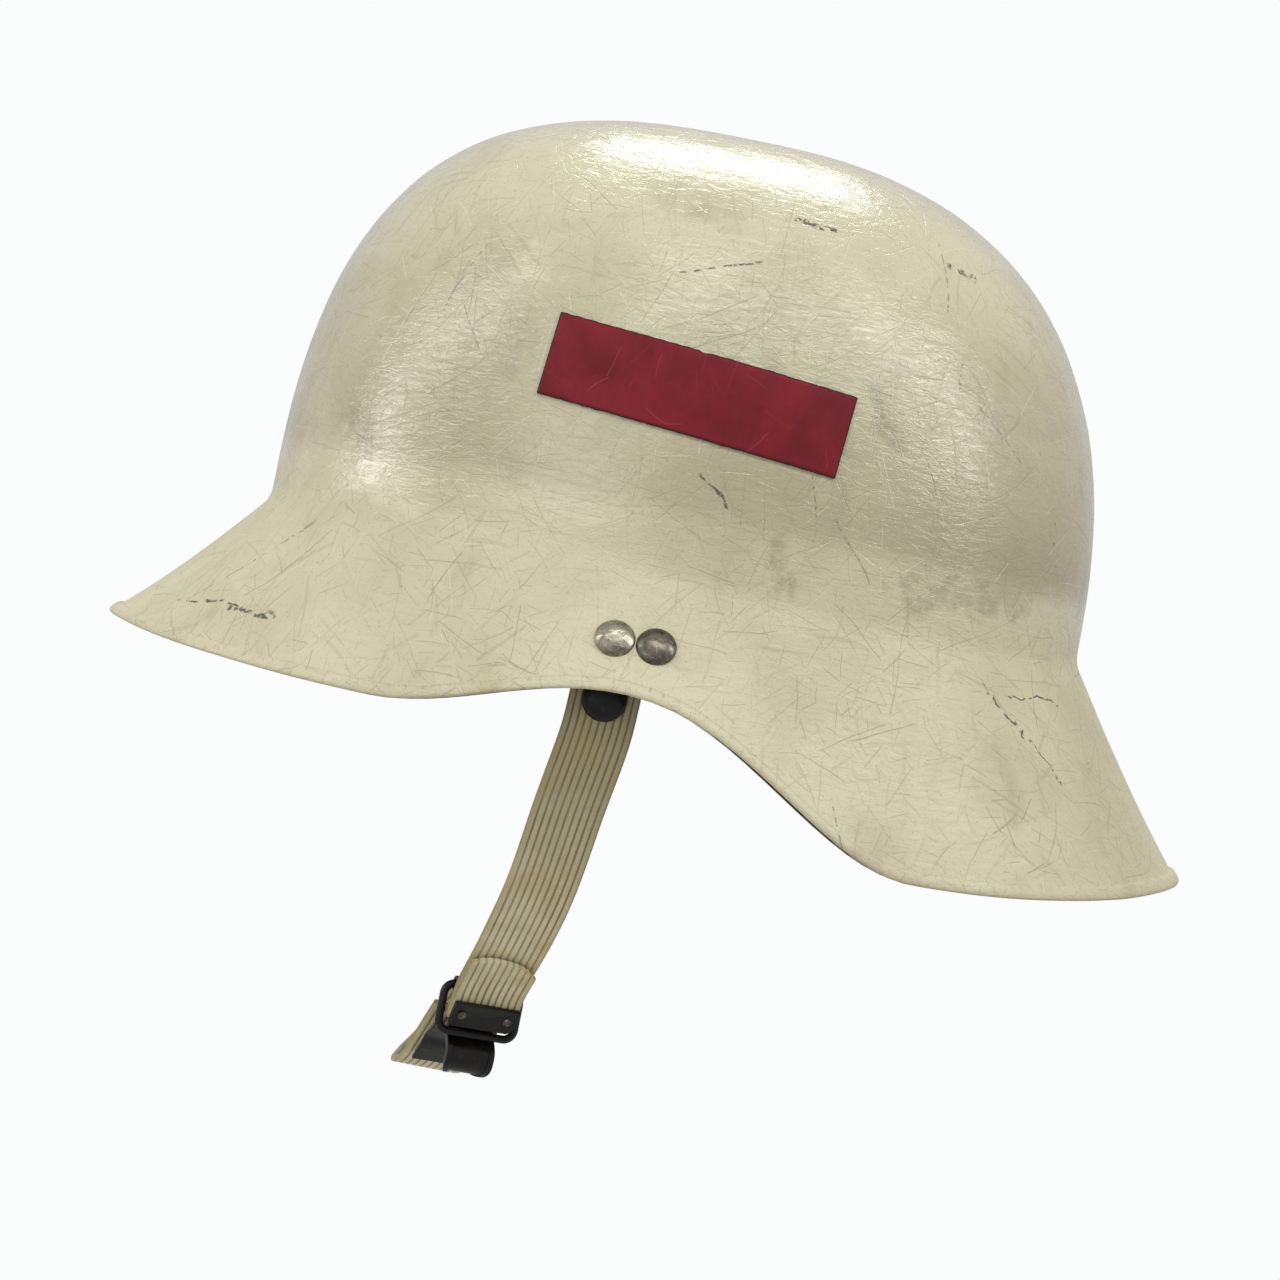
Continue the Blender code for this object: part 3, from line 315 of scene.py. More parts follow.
# %% [markdown]
# ## Scratches
# Years of use have left thousands of hair-fine scratches that run every way, and the
# cut strands of the laminate show through the gel coat in the same pattern. A streak
# noise has one direction and looks brushed. Here each cell of a Voronoi pattern holds
# one line at its own angle, and several sizes of cell overlap. The pattern is flat, so
# it is laid on whichever of the three main planes the surface faces most.

# %% Flat coordinates for the scratches
def facing_plane(finish):
    """Coordinates in metres on the plane that the surface faces, with a ragged change."""
    normal = finish.add("ShaderNodeNewGeometry").outputs["Normal"]
    jitter = finish.add("ShaderNodeTexNoise")
    finish.put(jitter.inputs["Vector"], finish.place)
    finish.put(jitter.inputs["Scale"], 90.0)
    offset = finish.add("ShaderNodeVectorMath", operation="MULTIPLY_ADD")
    finish.put(offset.inputs[0], jitter.outputs["Color"])
    offset.inputs[1].default_value = (0.3, 0.3, 0.3)
    finish.put(offset.inputs[2], normal)
    size = finish.add("ShaderNodeVectorMath", operation="ABSOLUTE")
    finish.put(size.inputs[0], offset.outputs["Vector"])
    parts = finish.add("ShaderNodeSeparateXYZ")
    finish.put(parts.inputs[0], size.outputs["Vector"])
    spot = finish.add("ShaderNodeSeparateXYZ")
    finish.put(spot.inputs[0], finish.place)

    def plane(a, b):
        node = finish.add("ShaderNodeCombineXYZ")
        finish.put(node.inputs[0], spot.outputs[a])
        finish.put(node.inputs[1], spot.outputs[b])
        return node.outputs[0]

    def choose(test, a, b):
        node = finish.add("ShaderNodeMix", data_type="VECTOR")
        finish.put(node.inputs["Factor"], test)
        finish.put(node.inputs[4], a)
        finish.put(node.inputs[5], b)
        return node.outputs[1]

    ends = finish.math("GREATER_THAN", parts.outputs["X"], parts.outputs["Y"])
    upright = choose(ends, plane("X", "Z"), plane("Y", "Z"))
    steepest = finish.math("MAXIMUM", parts.outputs["X"], parts.outputs["Y"])
    flat = finish.math("GREATER_THAN", parts.outputs["Z"], steepest)
    return choose(flat, upright, plane("X", "Y"))


# %% One layer of scratches
def scratch_layer(finish, plane, cell, width, share, shift, bend=0.25):
    """One line in each cell: cell size and line width in metres, share of cells used."""
    move = finish.add("ShaderNodeMapping")
    finish.put(move.inputs["Vector"], plane)
    move.inputs["Scale"].default_value = (1.0 / cell,) * 3
    move.inputs["Location"].default_value = (shift, -shift * 0.7, 0.0)
    move.inputs["Rotation"].default_value = (0.0, 0.0, shift)
    sway = finish.add("ShaderNodeTexNoise", noise_dimensions="2D")
    finish.put(sway.inputs["Vector"], move.outputs["Vector"])
    finish.put(sway.inputs["Scale"], 0.6)
    finish.put(sway.inputs["Detail"], 1.0)
    bent = finish.add("ShaderNodeVectorMath", operation="MULTIPLY_ADD")
    finish.put(bent.inputs[0], sway.outputs["Color"])
    bent.inputs[1].default_value = (bend * 3, bend * 3, 0.0)
    finish.put(bent.inputs[2], move.outputs["Vector"])
    cells = finish.add("ShaderNodeTexVoronoi", voronoi_dimensions="2D")
    finish.put(cells.inputs["Vector"], bent.outputs["Vector"])
    finish.put(cells.inputs["Scale"], 1.0)
    local = finish.add("ShaderNodeVectorMath", operation="SUBTRACT")
    finish.put(local.inputs[0], bent.outputs["Vector"])
    finish.put(local.inputs[1], cells.outputs["Position"])
    dice = finish.add("ShaderNodeSeparateColor")
    finish.put(dice.inputs[0], cells.outputs["Color"])
    turned_local = finish.add("ShaderNodeVectorRotate", rotation_type="Z_AXIS")
    finish.put(turned_local.inputs["Vector"], local.outputs["Vector"])
    finish.put(turned_local.inputs["Angle"], finish.math("MULTIPLY", dice.outputs["Red"], math.tau))
    parts = finish.add("ShaderNodeSeparateXYZ")
    finish.put(parts.inputs[0], turned_local.outputs["Vector"])
    off_line = finish.math("ABSOLUTE", parts.outputs["Y"])
    line = finish.steps(off_line, width / cell, width / cell * 0.25)
    reach = finish.math("ABSOLUTE", parts.outputs["X"])
    length = finish.math("MULTIPLY", dice.outputs["Green"], 0.75)
    length = finish.math("ADD", length, 0.25)
    taper = finish.math("SUBTRACT", length, reach)
    taper = finish.steps(taper, 0.0, 0.25)
    used = finish.math("LESS_THAN", dice.outputs["Blue"], share)
    depth = finish.math("MULTIPLY", finish.steps(dice.outputs["Blue"], share, 0.0, 0.25, 1.0), used)
    return finish.math("MULTIPLY", finish.math("MULTIPLY", line, taper), depth)


def stroke(finish, start, end, width, wander, side=-1.0):
    """One wandering mark from start to end, both (x, z) in metres, on one side of the shell."""
    shift = finish.add("ShaderNodeTexNoise")
    finish.put(shift.inputs["Vector"], finish.place)
    finish.put(shift.inputs["Scale"], 120.0)
    finish.put(shift.inputs["Detail"], 3.0)
    moved = finish.add("ShaderNodeVectorMath", operation="MULTIPLY_ADD")
    finish.put(moved.inputs[0], shift.outputs["Color"])
    moved.inputs[1].default_value = (wander * 2, 0.0, wander * 2)
    finish.put(moved.inputs[2], finish.place)
    apart = finish.add("ShaderNodeVectorMath", operation="MULTIPLY_ADD")
    finish.put(apart.inputs[0], moved.outputs["Vector"])
    apart.inputs[1].default_value = (1.0, 0.0, 1.0)
    apart.inputs[2].default_value = (-start[0] - wander, 0.0, -start[1] - wander)
    way = Vector((end[0] - start[0], 0.0, end[1] - start[1]))
    share = finish.add("ShaderNodeVectorMath", operation="DOT_PRODUCT")
    finish.put(share.inputs[0], apart.outputs["Vector"])
    share.inputs[1].default_value = way / way.length_squared
    held = finish.math("MULTIPLY", share.outputs["Value"], 1.0, clamp=True)
    nearest = finish.add("ShaderNodeVectorMath", operation="SCALE")
    nearest.inputs[0].default_value = way
    finish.put(nearest.inputs["Scale"], held)
    gap = finish.add("ShaderNodeVectorMath", operation="DISTANCE")
    finish.put(gap.inputs[0], apart.outputs["Vector"])
    finish.put(gap.inputs[1], nearest.outputs["Vector"])
    mark = finish.steps(gap.outputs["Value"], width, width * 0.3)
    place = finish.add("ShaderNodeSeparateXYZ")
    finish.put(place.inputs[0], finish.place)
    here = finish.math("GREATER_THAN", finish.math("MULTIPLY", place.outputs["Y"], side), 0.0)
    return finish.math("MULTIPLY", mark, here)


def most(finish, values):
    """The strongest of several masks."""
    best = values[0]
    for value in values[1:]:
        best = finish.math("MAXIMUM", best, value)
    return best


def scratches(finish, plane, rows):
    """Layers of scratches, from rows of cell and width in mm, share, shift and bend."""
    return most(finish, [
        scratch_layer(finish, plane, cell * MM, width * MM, share, shift, bend)
        for cell, width, share, shift, bend in rows
    ])


def marks(finish, rows):
    """Marks in chosen places, from rows of start, end, width and wander in mm."""
    lines = []
    for start, end, width, wander in rows:
        ends = [[part * MM for part in spot] for spot in (start, end)]
        lines.append(stroke(finish, *ends, width * MM, wander * MM))
    return most(finish, lines)


# %% [markdown]
# ## Gel coat
# The shell is glass-fibre laminate under an ivory gel coat. The dome keeps its gloss and
# the flare has gone dull. The lower dome is darkened with painted shade, and brown grime
# lies above the crease, most of it behind and in front. On top lie smudges, hair scratches,
# cracks, dark chips, and short wrinkles that break up the highlights.

# %% Marks of one particular life
CRACKS = (
    ((0.6, 28.4), (7.5, 24.0), 0.55, 2.2), ((7.0, 24.6), (11.0, 18.0), 0.50, 1.6),
    ((-15.6, 81.6), (6.5, 89.8), 0.45, 1.0), ((12.9, 103.7), (23.1, 102.8), 1.2, 2.0),
    ((57.9, 100.4), (65.0, 98.6), 1.1, 2.0), ((-134.8, -33.5), (-116.0, -31.0), 0.45, 3.0),
    ((-118.0, -32.5), (-106.0, -31.9), 1.3, 2.6), ((87.0, -10.5), (102.0, -22.0), 0.45, 4.0),
    ((102.0, -22.0), (117.0, -34.7), 0.50, 4.5), ((96.0, -14.0), (112.0, -12.0), 0.40, 4.0),
)
FINE_HAIRS = (
    (7.0, 0.15, 0.95, 1.3, 0.06), (9.5, 0.17, 0.95, 4.1, 0.05), (12.0, 0.19, 0.95, 7.7, 0.08),
    (15.0, 0.20, 0.95, 9.2, 0.10), (19.0, 0.22, 0.90, 12.9, 0.10), (24.0, 0.24, 0.85, 15.4, 0.14),
    (5.0, 0.14, 0.90, 18.6, 0.05),
)
SOFT_HAIRS = ((10.0, 0.55, 0.95, 2.2, 0.10), (16.0, 0.75, 0.95, 6.1, 0.14))
PALE_HAIRS = ((9.0, 0.16, 0.8, 21.5, 0.05), (14.0, 0.18, 0.8, 23.8, 0.08))
SMUDGES = (
    ((25.3, 15.5), (29.0, 2.0), 4.5, 5.0), ((-97.0, 28.0), (-90.0, 18.0), 6.0, 6.0),
    ((60.0, 8.0), (95.0, 14.0), 6.5, 8.0), ((40.0, 62.0), (52.0, 48.0), 4.0, 7.0),
)


# %% Gel coat finish
def make_gel_coat():
    f = Finish("ivory_gel_coat")
    plane = facing_plane(f)
    height = f.add("ShaderNodeSeparateXYZ")
    f.put(height.inputs[0], f.place)
    broad = f.noise(9.0, 3.0, 0.5)
    cloudy = f.noise(38.0, 5.0, 0.6, warp=0.6)
    colour = f.mix(f.steps(broad, 0.35, 0.7), (0.592, 0.548, 0.372), (0.510, 0.466, 0.305))
    colour = f.mix(f.steps(cloudy, 0.42, 0.75, 0.0, 0.40), colour, (0.42, 0.372, 0.232))
    dome = f.steps(height.outputs["Z"], 12.0 * MM, 22.0 * MM)
    # Painted shade: the dome from the crease band up to about 60 mm, fading out by 104 mm, is mixed
    # toward grey-brown and mottled by the cloudy noise.
    painted_dome_shade = f.math("MULTIPLY", dome, f.steps(height.outputs["Z"], 104.0 * MM, 60.0 * MM))
    painted_dome_shade = f.math("MULTIPLY", painted_dome_shade, f.steps(cloudy, 0.25, 0.6, 0.6, 1.0))
    colour = f.mix(f.math("MULTIPLY", painted_dome_shade, 0.55), colour, (0.370, 0.336, 0.212))
    shelter = f.math("MULTIPLY", f.steps(height.outputs["Z"], 62.0 * MM, 16.0 * MM), dome)
    grime = f.math("MULTIPLY", shelter, f.steps(f.noise(16.0, 5.0, 0.65, warp=0.8), 0.34, 0.62))
    behind = f.steps(height.outputs["X"], 20.0 * MM, 115.0 * MM)
    ahead = f.steps(height.outputs["X"], -60.0 * MM, -115.0 * MM)
    ends = f.math("MULTIPLY", f.math("MAXIMUM", behind, ahead), 0.45)
    grime = f.math("MULTIPLY", grime, f.math("ADD", ends, 0.45))
    colour = f.mix(grime, colour, (0.330, 0.278, 0.165))
    brushed = f.noise(1.0, 4.0, 0.6, stretch=(60.0, 60.0, 14.0))
    smudge = f.steps(f.math("MULTIPLY", brushed, f.noise(20.0, 4.0)), 0.30, 0.46)
    colour = f.mix(f.math("MULTIPLY", smudge, 0.42), colour, (0.31, 0.262, 0.17))
    rubbed = marks(f, SMUDGES)
    rubbed = f.math("MULTIPLY", rubbed, f.steps(f.noise(150.0, 4.0, 0.7), 0.35, 0.65))
    colour = f.mix(f.math("MULTIPLY", rubbed, 0.5), colour, (0.25, 0.20, 0.12))
    hair = scratches(f, plane, FINE_HAIRS)
    soft = scratches(f, plane, SOFT_HAIRS)
    patchy = f.steps(f.noise(22.0, 3.0), 0.30, 0.64, 0.15, 0.60)
    faint = f.math("MULTIPLY", soft, f.math("MULTIPLY", patchy, 0.5))
    colour = f.mix(faint, colour, (0.300, 0.250, 0.140))
    colour = f.mix(f.math("MULTIPLY", hair, patchy), colour, (0.275, 0.222, 0.125))
    bright = scratches(f, plane, PALE_HAIRS)
    colour = f.mix(f.math("MULTIPLY", bright, 0.32), colour, (0.78, 0.745, 0.60))
    deep = scratch_layer(f, plane, 30.0 * MM, 0.34 * MM, 0.32, 17.1, 0.25)
    broken = f.steps(f.noise(520.0, 2.0), 0.44, 0.56)
    crack = marks(f, CRACKS)
    deep = f.math("MULTIPLY", f.math("MAXIMUM", f.math("MULTIPLY", deep, 0.6), crack), broken)
    colour = f.mix(f.math("MULTIPLY", deep, 0.9), colour, (0.055, 0.048, 0.034))
    chips = f.cells(120.0)
    chip_size = f.steps(f.noise(14.0, 3.0), 0.46, 0.72, 0.012, 0.10)
    ragged = f.math("ADD", chips.outputs["Distance"], f.math("MULTIPLY", f.noise(900.0, 2.0), 0.07))
    chip = f.math("LESS_THAN", ragged, chip_size)
    colour = f.mix(f.math("MULTIPLY", chip, 0.7), colour, (0.15, 0.125, 0.08))
    flecks = f.steps(f.noise(1100.0, 3.0, 0.7), 0.60, 0.70, 0.0, 0.45)
    colour = f.mix(flecks, colour, (0.27, 0.225, 0.14))
    wrinkle = f.noise(1.0, 4.0, 0.62, stretch=(190.0, 190.0, 620.0), warp=0.6)
    normal = f.bump(f.noise(26.0, 2.0), 0.9 * MM, 0.35)
    normal = f.bump(wrinkle, 0.50 * MM, 0.65, normal)
    normal = f.bump(f.noise(300.0, 3.0, 0.5), 0.10 * MM, 0.5, normal)
    cut = f.math("SUBTRACT", 1.0, most(f, [hair, deep, bright, chip]))
    normal = f.bump(cut, 0.08 * MM, 0.55, normal)
    rough = f.steps(cloudy, 0.3, 0.7, 0.15, 0.26)
    flare = f.steps(height.outputs["Z"], 14.0 * MM, -2.0 * MM)
    rough = f.math("ADD", rough, f.math("MULTIPLY", flare, 0.26))
    rough = f.math("ADD", rough, f.math("MULTIPLY", grime, 0.18))
    rough = f.math("ADD", rough, f.math("MULTIPLY", hair, 0.10), clamp=True)
    polish = f.math("MULTIPLY", f.math("SUBTRACT", 1.0, flare), f.steps(cloudy, 0.2, 0.8, 0.75, 0.45))
    f.put(f.shader.inputs["Coat Weight"], f.math("ADD", polish, 0.04))
    f.put(f.shader.inputs["Coat Normal"], normal)
    return f.done(colour, rough, normal, Coat_Roughness=0.10, IOR=1.52)


gel_coat = make_gel_coat()
print("gel coat:", len(gel_coat.node_tree.nodes), "nodes")

# %% [markdown]
# The cut edge of the laminate is dark and ragged with dirt in the glass, and the inside
# is raw resin with chopped strands in it, greyer than the outside.

# %% Laminate edge and inner face
def make_laminate(name, light, dark, fibre):
    f = Finish(name)
    plane = facing_plane(f)
    strands = most(f, [
        scratch_layer(f, plane, 9.0 * MM, 0.5 * MM, 1.0, 2.2),
        scratch_layer(f, plane, 13.0 * MM, 0.6 * MM, 1.0, 6.4),
    ])
    colour = f.mix(f.noise(45.0, 5.0, 0.6), light, dark)
    colour = f.mix(f.math("MULTIPLY", strands, 0.6), colour, fibre)
    speck = f.steps(f.noise(900.0, 2.0), 0.52, 0.66)
    colour = f.mix(speck, colour, tuple(part * 0.35 for part in dark))
    normal = f.bump(f.noise(300.0, 4.0), 0.3 * MM, 0.8)
    normal = f.bump(strands, 0.25 * MM, 0.8, normal)
    return f.done(colour, 0.62, normal)


laminate_edge = make_laminate(
    "laminate_edge", (0.20, 0.165, 0.10), (0.05, 0.042, 0.03), (0.36, 0.31, 0.2)
)
laminate_inside = make_laminate(
    "laminate_inside", (0.30, 0.265, 0.18), (0.19, 0.16, 0.10), (0.40, 0.36, 0.26)
)
print("laminate finishes ready")

# %% [markdown]
# ## Shell
# The dome is a Lame shape: an ellipse with a higher power, fuller in front than behind.
# Below its crease a flare runs out to the rim, which dips over the temples, arches over
# the ears and drops behind into a neck guard. A flat fan of rings is spun first, and
# each spoke is then lifted onto its own upright section. The rim carries a thin raised
# bead, and a little noise stands for the hand-laid laminate.

# %% Shell sizes
DOME_HEIGHT = 130.2 * MM
DOME_FRONT = 120.2 * MM
DOME_REAR = 119.2 * MM
DOME_SIDE = 100.0 * MM
FRONT_POWER = 2.87
SIDE_POWER = 2.4
REAR_POWER = 2.5
PLAN_POWER = 2.15
CREASE_WAVE = 9.0 * MM
CREASE_FILLET = 3.6 * MM
VISOR_REACH = 38.9 * MM
NECK_REACH = 41.7 * MM
SIDE_REACH = 18.5 * MM
SHELL_WALL = 3.0 * MM
FLARE_HOLLOW = 1.0 * MM
RIM_DROPS = ((0.0, 41.0), (64.0, 47.6), (87.5, 33.7), (117.0, 68.3), (180.0, 56.0))
BEAD = ((4.3, 0.0), (4.0, 0.3), (3.75, 0.85), (3.1, 1.05), (1.5, 1.05), (0.5, 0.85), (0.0, 0.2))
COLUMNS = 192
DOME_ROWS = 40
FILLET_ROWS = 8
FLARE_ROWS = 14


# %% Sections of the shell
def plan_curve(angle, front, rear, side, power):
    across = math.cos(angle)
    over = math.sin(angle)
    length = front if across > 0 else rear
    x = -length * math.copysign(abs(across) ** (2.0 / power), across)
    y = -side * math.copysign(abs(over) ** (2.0 / power), over)
    return x, y


def rim_drop(angle):
    turn = abs(math.degrees(math.remainder(angle, math.tau)))
    for (low, drop), (high, next_drop) in zip(RIM_DROPS, RIM_DROPS[1:]):
        if turn <= high:
            share = (turn - low) / (high - low)
            ease = share * share * (3.0 - 2.0 * share)
            return (drop + (next_drop - drop) * ease) * MM
    return RIM_DROPS[-1][1] * MM


def shell_section(angle):
    across = math.cos(angle)
    end_power = FRONT_POWER if across > 0 else REAR_POWER
    power = SIDE_POWER + (end_power - SIDE_POWER) * across * across
    base_x, base_y = plan_curve(angle, DOME_FRONT, DOME_REAR, DOME_SIDE, PLAN_POWER)
    rim_x, rim_y = plan_curve(
        angle, DOME_FRONT + VISOR_REACH, DOME_REAR + NECK_REACH, DOME_SIDE + SIDE_REACH, PLAN_POWER
    )
    lift = CREASE_WAVE * math.cos(angle) * math.sin(angle) ** 2
    crease = Vector((base_x, base_y, lift))
    rim = Vector((rim_x, rim_y, -rim_drop(angle)))
    end = math.acos((CREASE_FILLET / DOME_HEIGHT) ** (power / 2.0))
    line = []
    for row in range(DOME_ROWS + 1):
        turn = end * row / DOME_ROWS
        reach = math.sin(turn) ** (2.0 / power)
        height = DOME_HEIGHT * math.cos(turn) ** (2.0 / power)
        height += lift * (1.0 - height / DOME_HEIGHT) ** 2
        line.append(Vector((base_x * reach, base_y * reach, height)))
    flare = rim - crease
    start = crease + flare.normalized() * CREASE_FILLET
    top = line[-1]
    for row in range(1, FILLET_ROWS + 1):
        t = row / FILLET_ROWS
        line.append(top * (1 - t) ** 2 + crease * 2 * t * (1 - t) + start * t ** 2)
    inward = Vector((-base_x, -base_y, 0.0)).normalized()
    outward = (Vector((0.0, 0.0, 1.0)) - inward).normalized()
    length = (rim - start).length
    shares = [row / FLARE_ROWS * (1.0 - 5.0 * MM / length) for row in range(1, FLARE_ROWS + 1)]
    rises = [0.0] * FLARE_ROWS
    for back_from_rim, rise in BEAD:
        shares.append(1.0 - back_from_rim * MM / length)
        rises.append(rise * MM)
    for t, rise in zip(shares, rises):
        hollow = FLARE_HOLLOW * math.sin(math.pi * t)
        line.append(start.lerp(rim, t) - outward * hollow + outward * rise)
    return line


# %% Spin the fan and lift it
def make_shell():
    rows = DOME_ROWS + FILLET_ROWS + FLARE_ROWS + len(BEAD)
    bm = bmesh.new()
    spoke = [bm.verts.new((-float(row), 0.0, 0.0)) for row in range(rows + 1)]
    edges = [bm.edges.new(pair) for pair in zip(spoke, spoke[1:])]
    bmesh.ops.spin(
        bm, geom=spoke + edges, axis=(0, 0, 1), cent=(0, 0, 0),
        angle=math.tau, steps=COLUMNS, use_merge=True,
    )
    bmesh.ops.remove_doubles(bm, verts=bm.verts[:], dist=0.001)
    sections = [shell_section(math.tau * column / COLUMNS) for column in range(COLUMNS)]
    for vert in bm.verts:
        row = round(vert.co.length)
        column = round(math.atan2(-vert.co.y, -vert.co.x) / math.tau * COLUMNS) % COLUMNS
        spot = sections[column][row]
        sway = noise.noise(spot * 22.0) * 0.5 * MM + noise.noise(spot * 70.0) * 0.12 * MM
        ease = min(1.0, row / 10.0)
        vert.co = spot * (1.0 + sway * ease / max(spot.length, 0.05))
    bmesh.ops.recalc_face_normals(bm, faces=bm.faces[:])
    if max(bm.faces, key=lambda face: face.calc_center_median().z).normal.z < 0:
        bmesh.ops.reverse_faces(bm, faces=bm.faces[:])
    mesh = bpy.data.meshes.new("moulded_shell")
    bm.to_mesh(mesh)
    bm.free()
    mesh.shade_smooth()
    shell = bpy.data.objects.new("moulded_shell", mesh)
    bpy.context.scene.collection.objects.link(shell)
    for material in (gel_coat, laminate_inside, laminate_edge):
        mesh.materials.append(material)
    wall = shell.modifiers.new("wall", "SOLIDIFY")
    wall.thickness = SHELL_WALL
    wall.offset = -1.0
    wall.use_even_offset = True
    wall.material_offset = 1
    wall.material_offset_rim = 2
    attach(shell, "helmet")
    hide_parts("shell")
    return shell


shell = make_shell()
print("shell faces:", len(shell.data.polygons))

# %% [markdown]
# ## Finding the surface
# Patches and rivets sit on the finished skin, so their places are found by casting a
# ray sideways at the shell, as a finger would feel for the spot.

# %% Ray casting on the shell
SKIN = BVHTree.FromPolygons(
    [vert.co for vert in shell.data.vertices],
    [face.vertices for face in shell.data.polygons],
)


def skin_point(x, z, side):
    point, normal, _, _ = SKIN.ray_cast(Vector((x, side * 0.3, z)), Vector((0.0, -side, 0.0)))
    return point, normal


print("skin at the temple:", skin_point(0.0, 0.0, -1)[0])

# %% [markdown]
# ## Red patches
# One patch of crimson reflective foil is stuck on each side. It is cut by hand, so its
# edge is a little uneven, nicked in places, and dirt has gathered round it. The sheet
# starts as a grid, each point is laid on the skin, and a wall gives it its thickness.
# The distance to the edge is stored, so that the dirt can follow the outline.

# %% Foil finish
def make_foil():
    f = Finish("crimson_foil")
    edge = f.attribute("edge")
    fade = f.noise(60.0, 4.0, 0.6, warp=0.4)
    colour = f.mix(f.steps(fade, 0.35, 0.7), (0.190, 0.009, 0.017), (0.130, 0.007, 0.013))
    streak = f.noise(1.0, 3.0, 0.6, stretch=(900.0, 900.0, 160.0))
    colour = f.mix(f.steps(streak, 0.52, 0.72, 0.0, 0.4), colour, (0.10, 0.010, 0.018))
    plane = facing_plane(f)
    lines = scratch_layer(f, plane, 9.0 * MM, 0.16 * MM, 0.5, 3.3)
    colour = f.mix(f.math("MULTIPLY", lines, 0.35), colour, (0.36, 0.10, 0.10))
    ragged = f.math("ADD", edge, f.math("MULTIPLY", f.noise(500.0, 3.0), 0.9 * MM))
    outline = f.steps(ragged, 0.95 * MM, 0.60 * MM)
    colour = f.mix(f.math("MULTIPLY", outline, 0.85), colour, (0.045, 0.022, 0.018))
    normal = f.bump(f.noise(1.0, 2.0, 0.5, stretch=(700.0, 700.0, 300.0)), 0.1 * MM, 0.5)
    normal = f.bump(f.noise(60.0, 2.0), 0.5 * MM, 0.4, normal)
    return f.done(colour, f.steps(fade, 0.3, 0.7, 0.45, 0.62), normal, Specular_IOR_Level=0.18)


foil = make_foil()
print("foil finish ready")

# %% Lay the patches
PATCH_SIZE = (83.5 * MM, 23.0 * MM)
PATCH_CENTRE = (-4.4 * MM, 49.3 * MM)
PATCH_TILT = math.radians(4.6)
PATCH_LIFT = 0.45 * MM


def make_patch(side, word):
    bm = bmesh.new()
    edge = bm.verts.layers.float.new("edge")
    bmesh.ops.create_grid(bm, x_segments=84, y_segments=24, size=0.5)
    for vert in bm.verts:
        along = vert.co.x * PATCH_SIZE[0]
        high = vert.co.y * PATCH_SIZE[1]
        room = min(PATCH_SIZE[0] / 2 - abs(along), PATCH_SIZE[1] / 2 - abs(high))
        vert[edge] = room
        if room < 0.2 * MM:
            wobble = noise.noise(Vector((along, high, side)) * 260.0) * 0.35 * MM
            high += math.copysign(wobble, high)
        if abs(along + 1.5 * MM) < 0.6 * MM and high > PATCH_SIZE[1] / 2 - 0.6 * MM:
            high -= 0.45 * MM
        x = PATCH_CENTRE[0] + along * math.cos(PATCH_TILT) + high * math.sin(PATCH_TILT)
        z = PATCH_CENTRE[1] - along * math.sin(PATCH_TILT) + high * math.cos(PATCH_TILT)
        point, normal = skin_point(x, z, side)
        vert.co = point + normal * PATCH_LIFT
    patch = finish_piece("red_patch_foil_" + word, bm, "helmet", foil)
    wall = patch.modifiers.new("wall", "SOLIDIFY")
    wall.thickness = PATCH_LIFT
    wall.offset = 0.0
    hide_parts("red_patch_" + word)
    return patch


for side, word in ((-1, "left"), (1, "right")):
    print(make_patch(side, word).name)

# %% [markdown]
# ## Metal fittings
# Two domed rivets on each side hold the steel bracket inside. Nickel plating tarnishes
# in patches and spots. The front rivet is brighter and more dented than the rear one.

# %% Tarnished nickel and bracket steel
def make_metal(name, light, dark, brown, rough, dent=0.35):
    f = Finish(name)
    cloudy = f.noise(240.0, 5.0, 0.65, warp=0.7)
    colour = f.mix(f.steps(cloudy, 0.36, 0.64), light, dark)
    spots = f.steps(f.noise(700.0, 4.0, 0.7), 0.52, 0.68)
    colour = f.mix(f.math("MULTIPLY", spots, 0.7), colour, brown)
    plane = facing_plane(f)
    lines = scratches(f, plane, ((2.4, 0.09, 0.8, 5.5, 0.25), (4.0, 0.10, 0.7, 8.1, 0.25)))
    colour = f.mix(f.math("MULTIPLY", lines, 0.4), colour, (0.55, 0.52, 0.46))
    normal = f.bump(f.noise(210.0, 2.0), 0.7 * MM, dent)
    normal = f.bump(f.noise(1600.0, 3.0), 0.05 * MM, 0.6, normal)
    normal = f.bump(f.math("SUBTRACT", 1.0, lines), 0.04 * MM, 0.5, normal)
    value = f.steps(cloudy, 0.3, 0.7, rough - 0.08, rough + 0.16)
    return f.done(colour, value, normal, Metallic=0.9)


nickel = make_metal(
    "tarnished_nickel", (0.42, 0.395, 0.30), (0.18, 0.165, 0.115), (0.08, 0.06, 0.03), 0.28, 0.5
)
brown_nickel = make_metal(
    "brown_nickel", (0.17, 0.152, 0.118), (0.080, 0.068, 0.048), (0.045, 0.033, 0.020), 0.34
)
steel = make_metal(
    "bracket_steel", (0.36, 0.36, 0.35), (0.24, 0.235, 0.225), (0.13, 0.09, 0.06), 0.42, 0.2
)
print("metals ready")

# %% Shell rivets
GAP = 0.3 * MM
RIVET_XS = (-12.9 * MM, -1.7 * MM)
RIVET_Z = -19.6 * MM
PAD_OUTER = -SHELL_WALL - 0.8 * MM
PAD_INNER = PAD_OUTER - 1.6 * MM
WASHER_INNER = PAD_INNER - GAP - 0.8 * MM
RIVET_TAIL = WASHER_INNER - GAP
RIVET_LINE = (
    (0.0, 2.1), (1.2, 2.08), (2.4, 1.98), (3.5, 1.74), (4.4, 1.36),
    (5.0, 0.92), (5.4, 0.5), (5.5, 0.2), (5.4, 0.02), (4.8, -0.05), (2.0, -0.1),
)


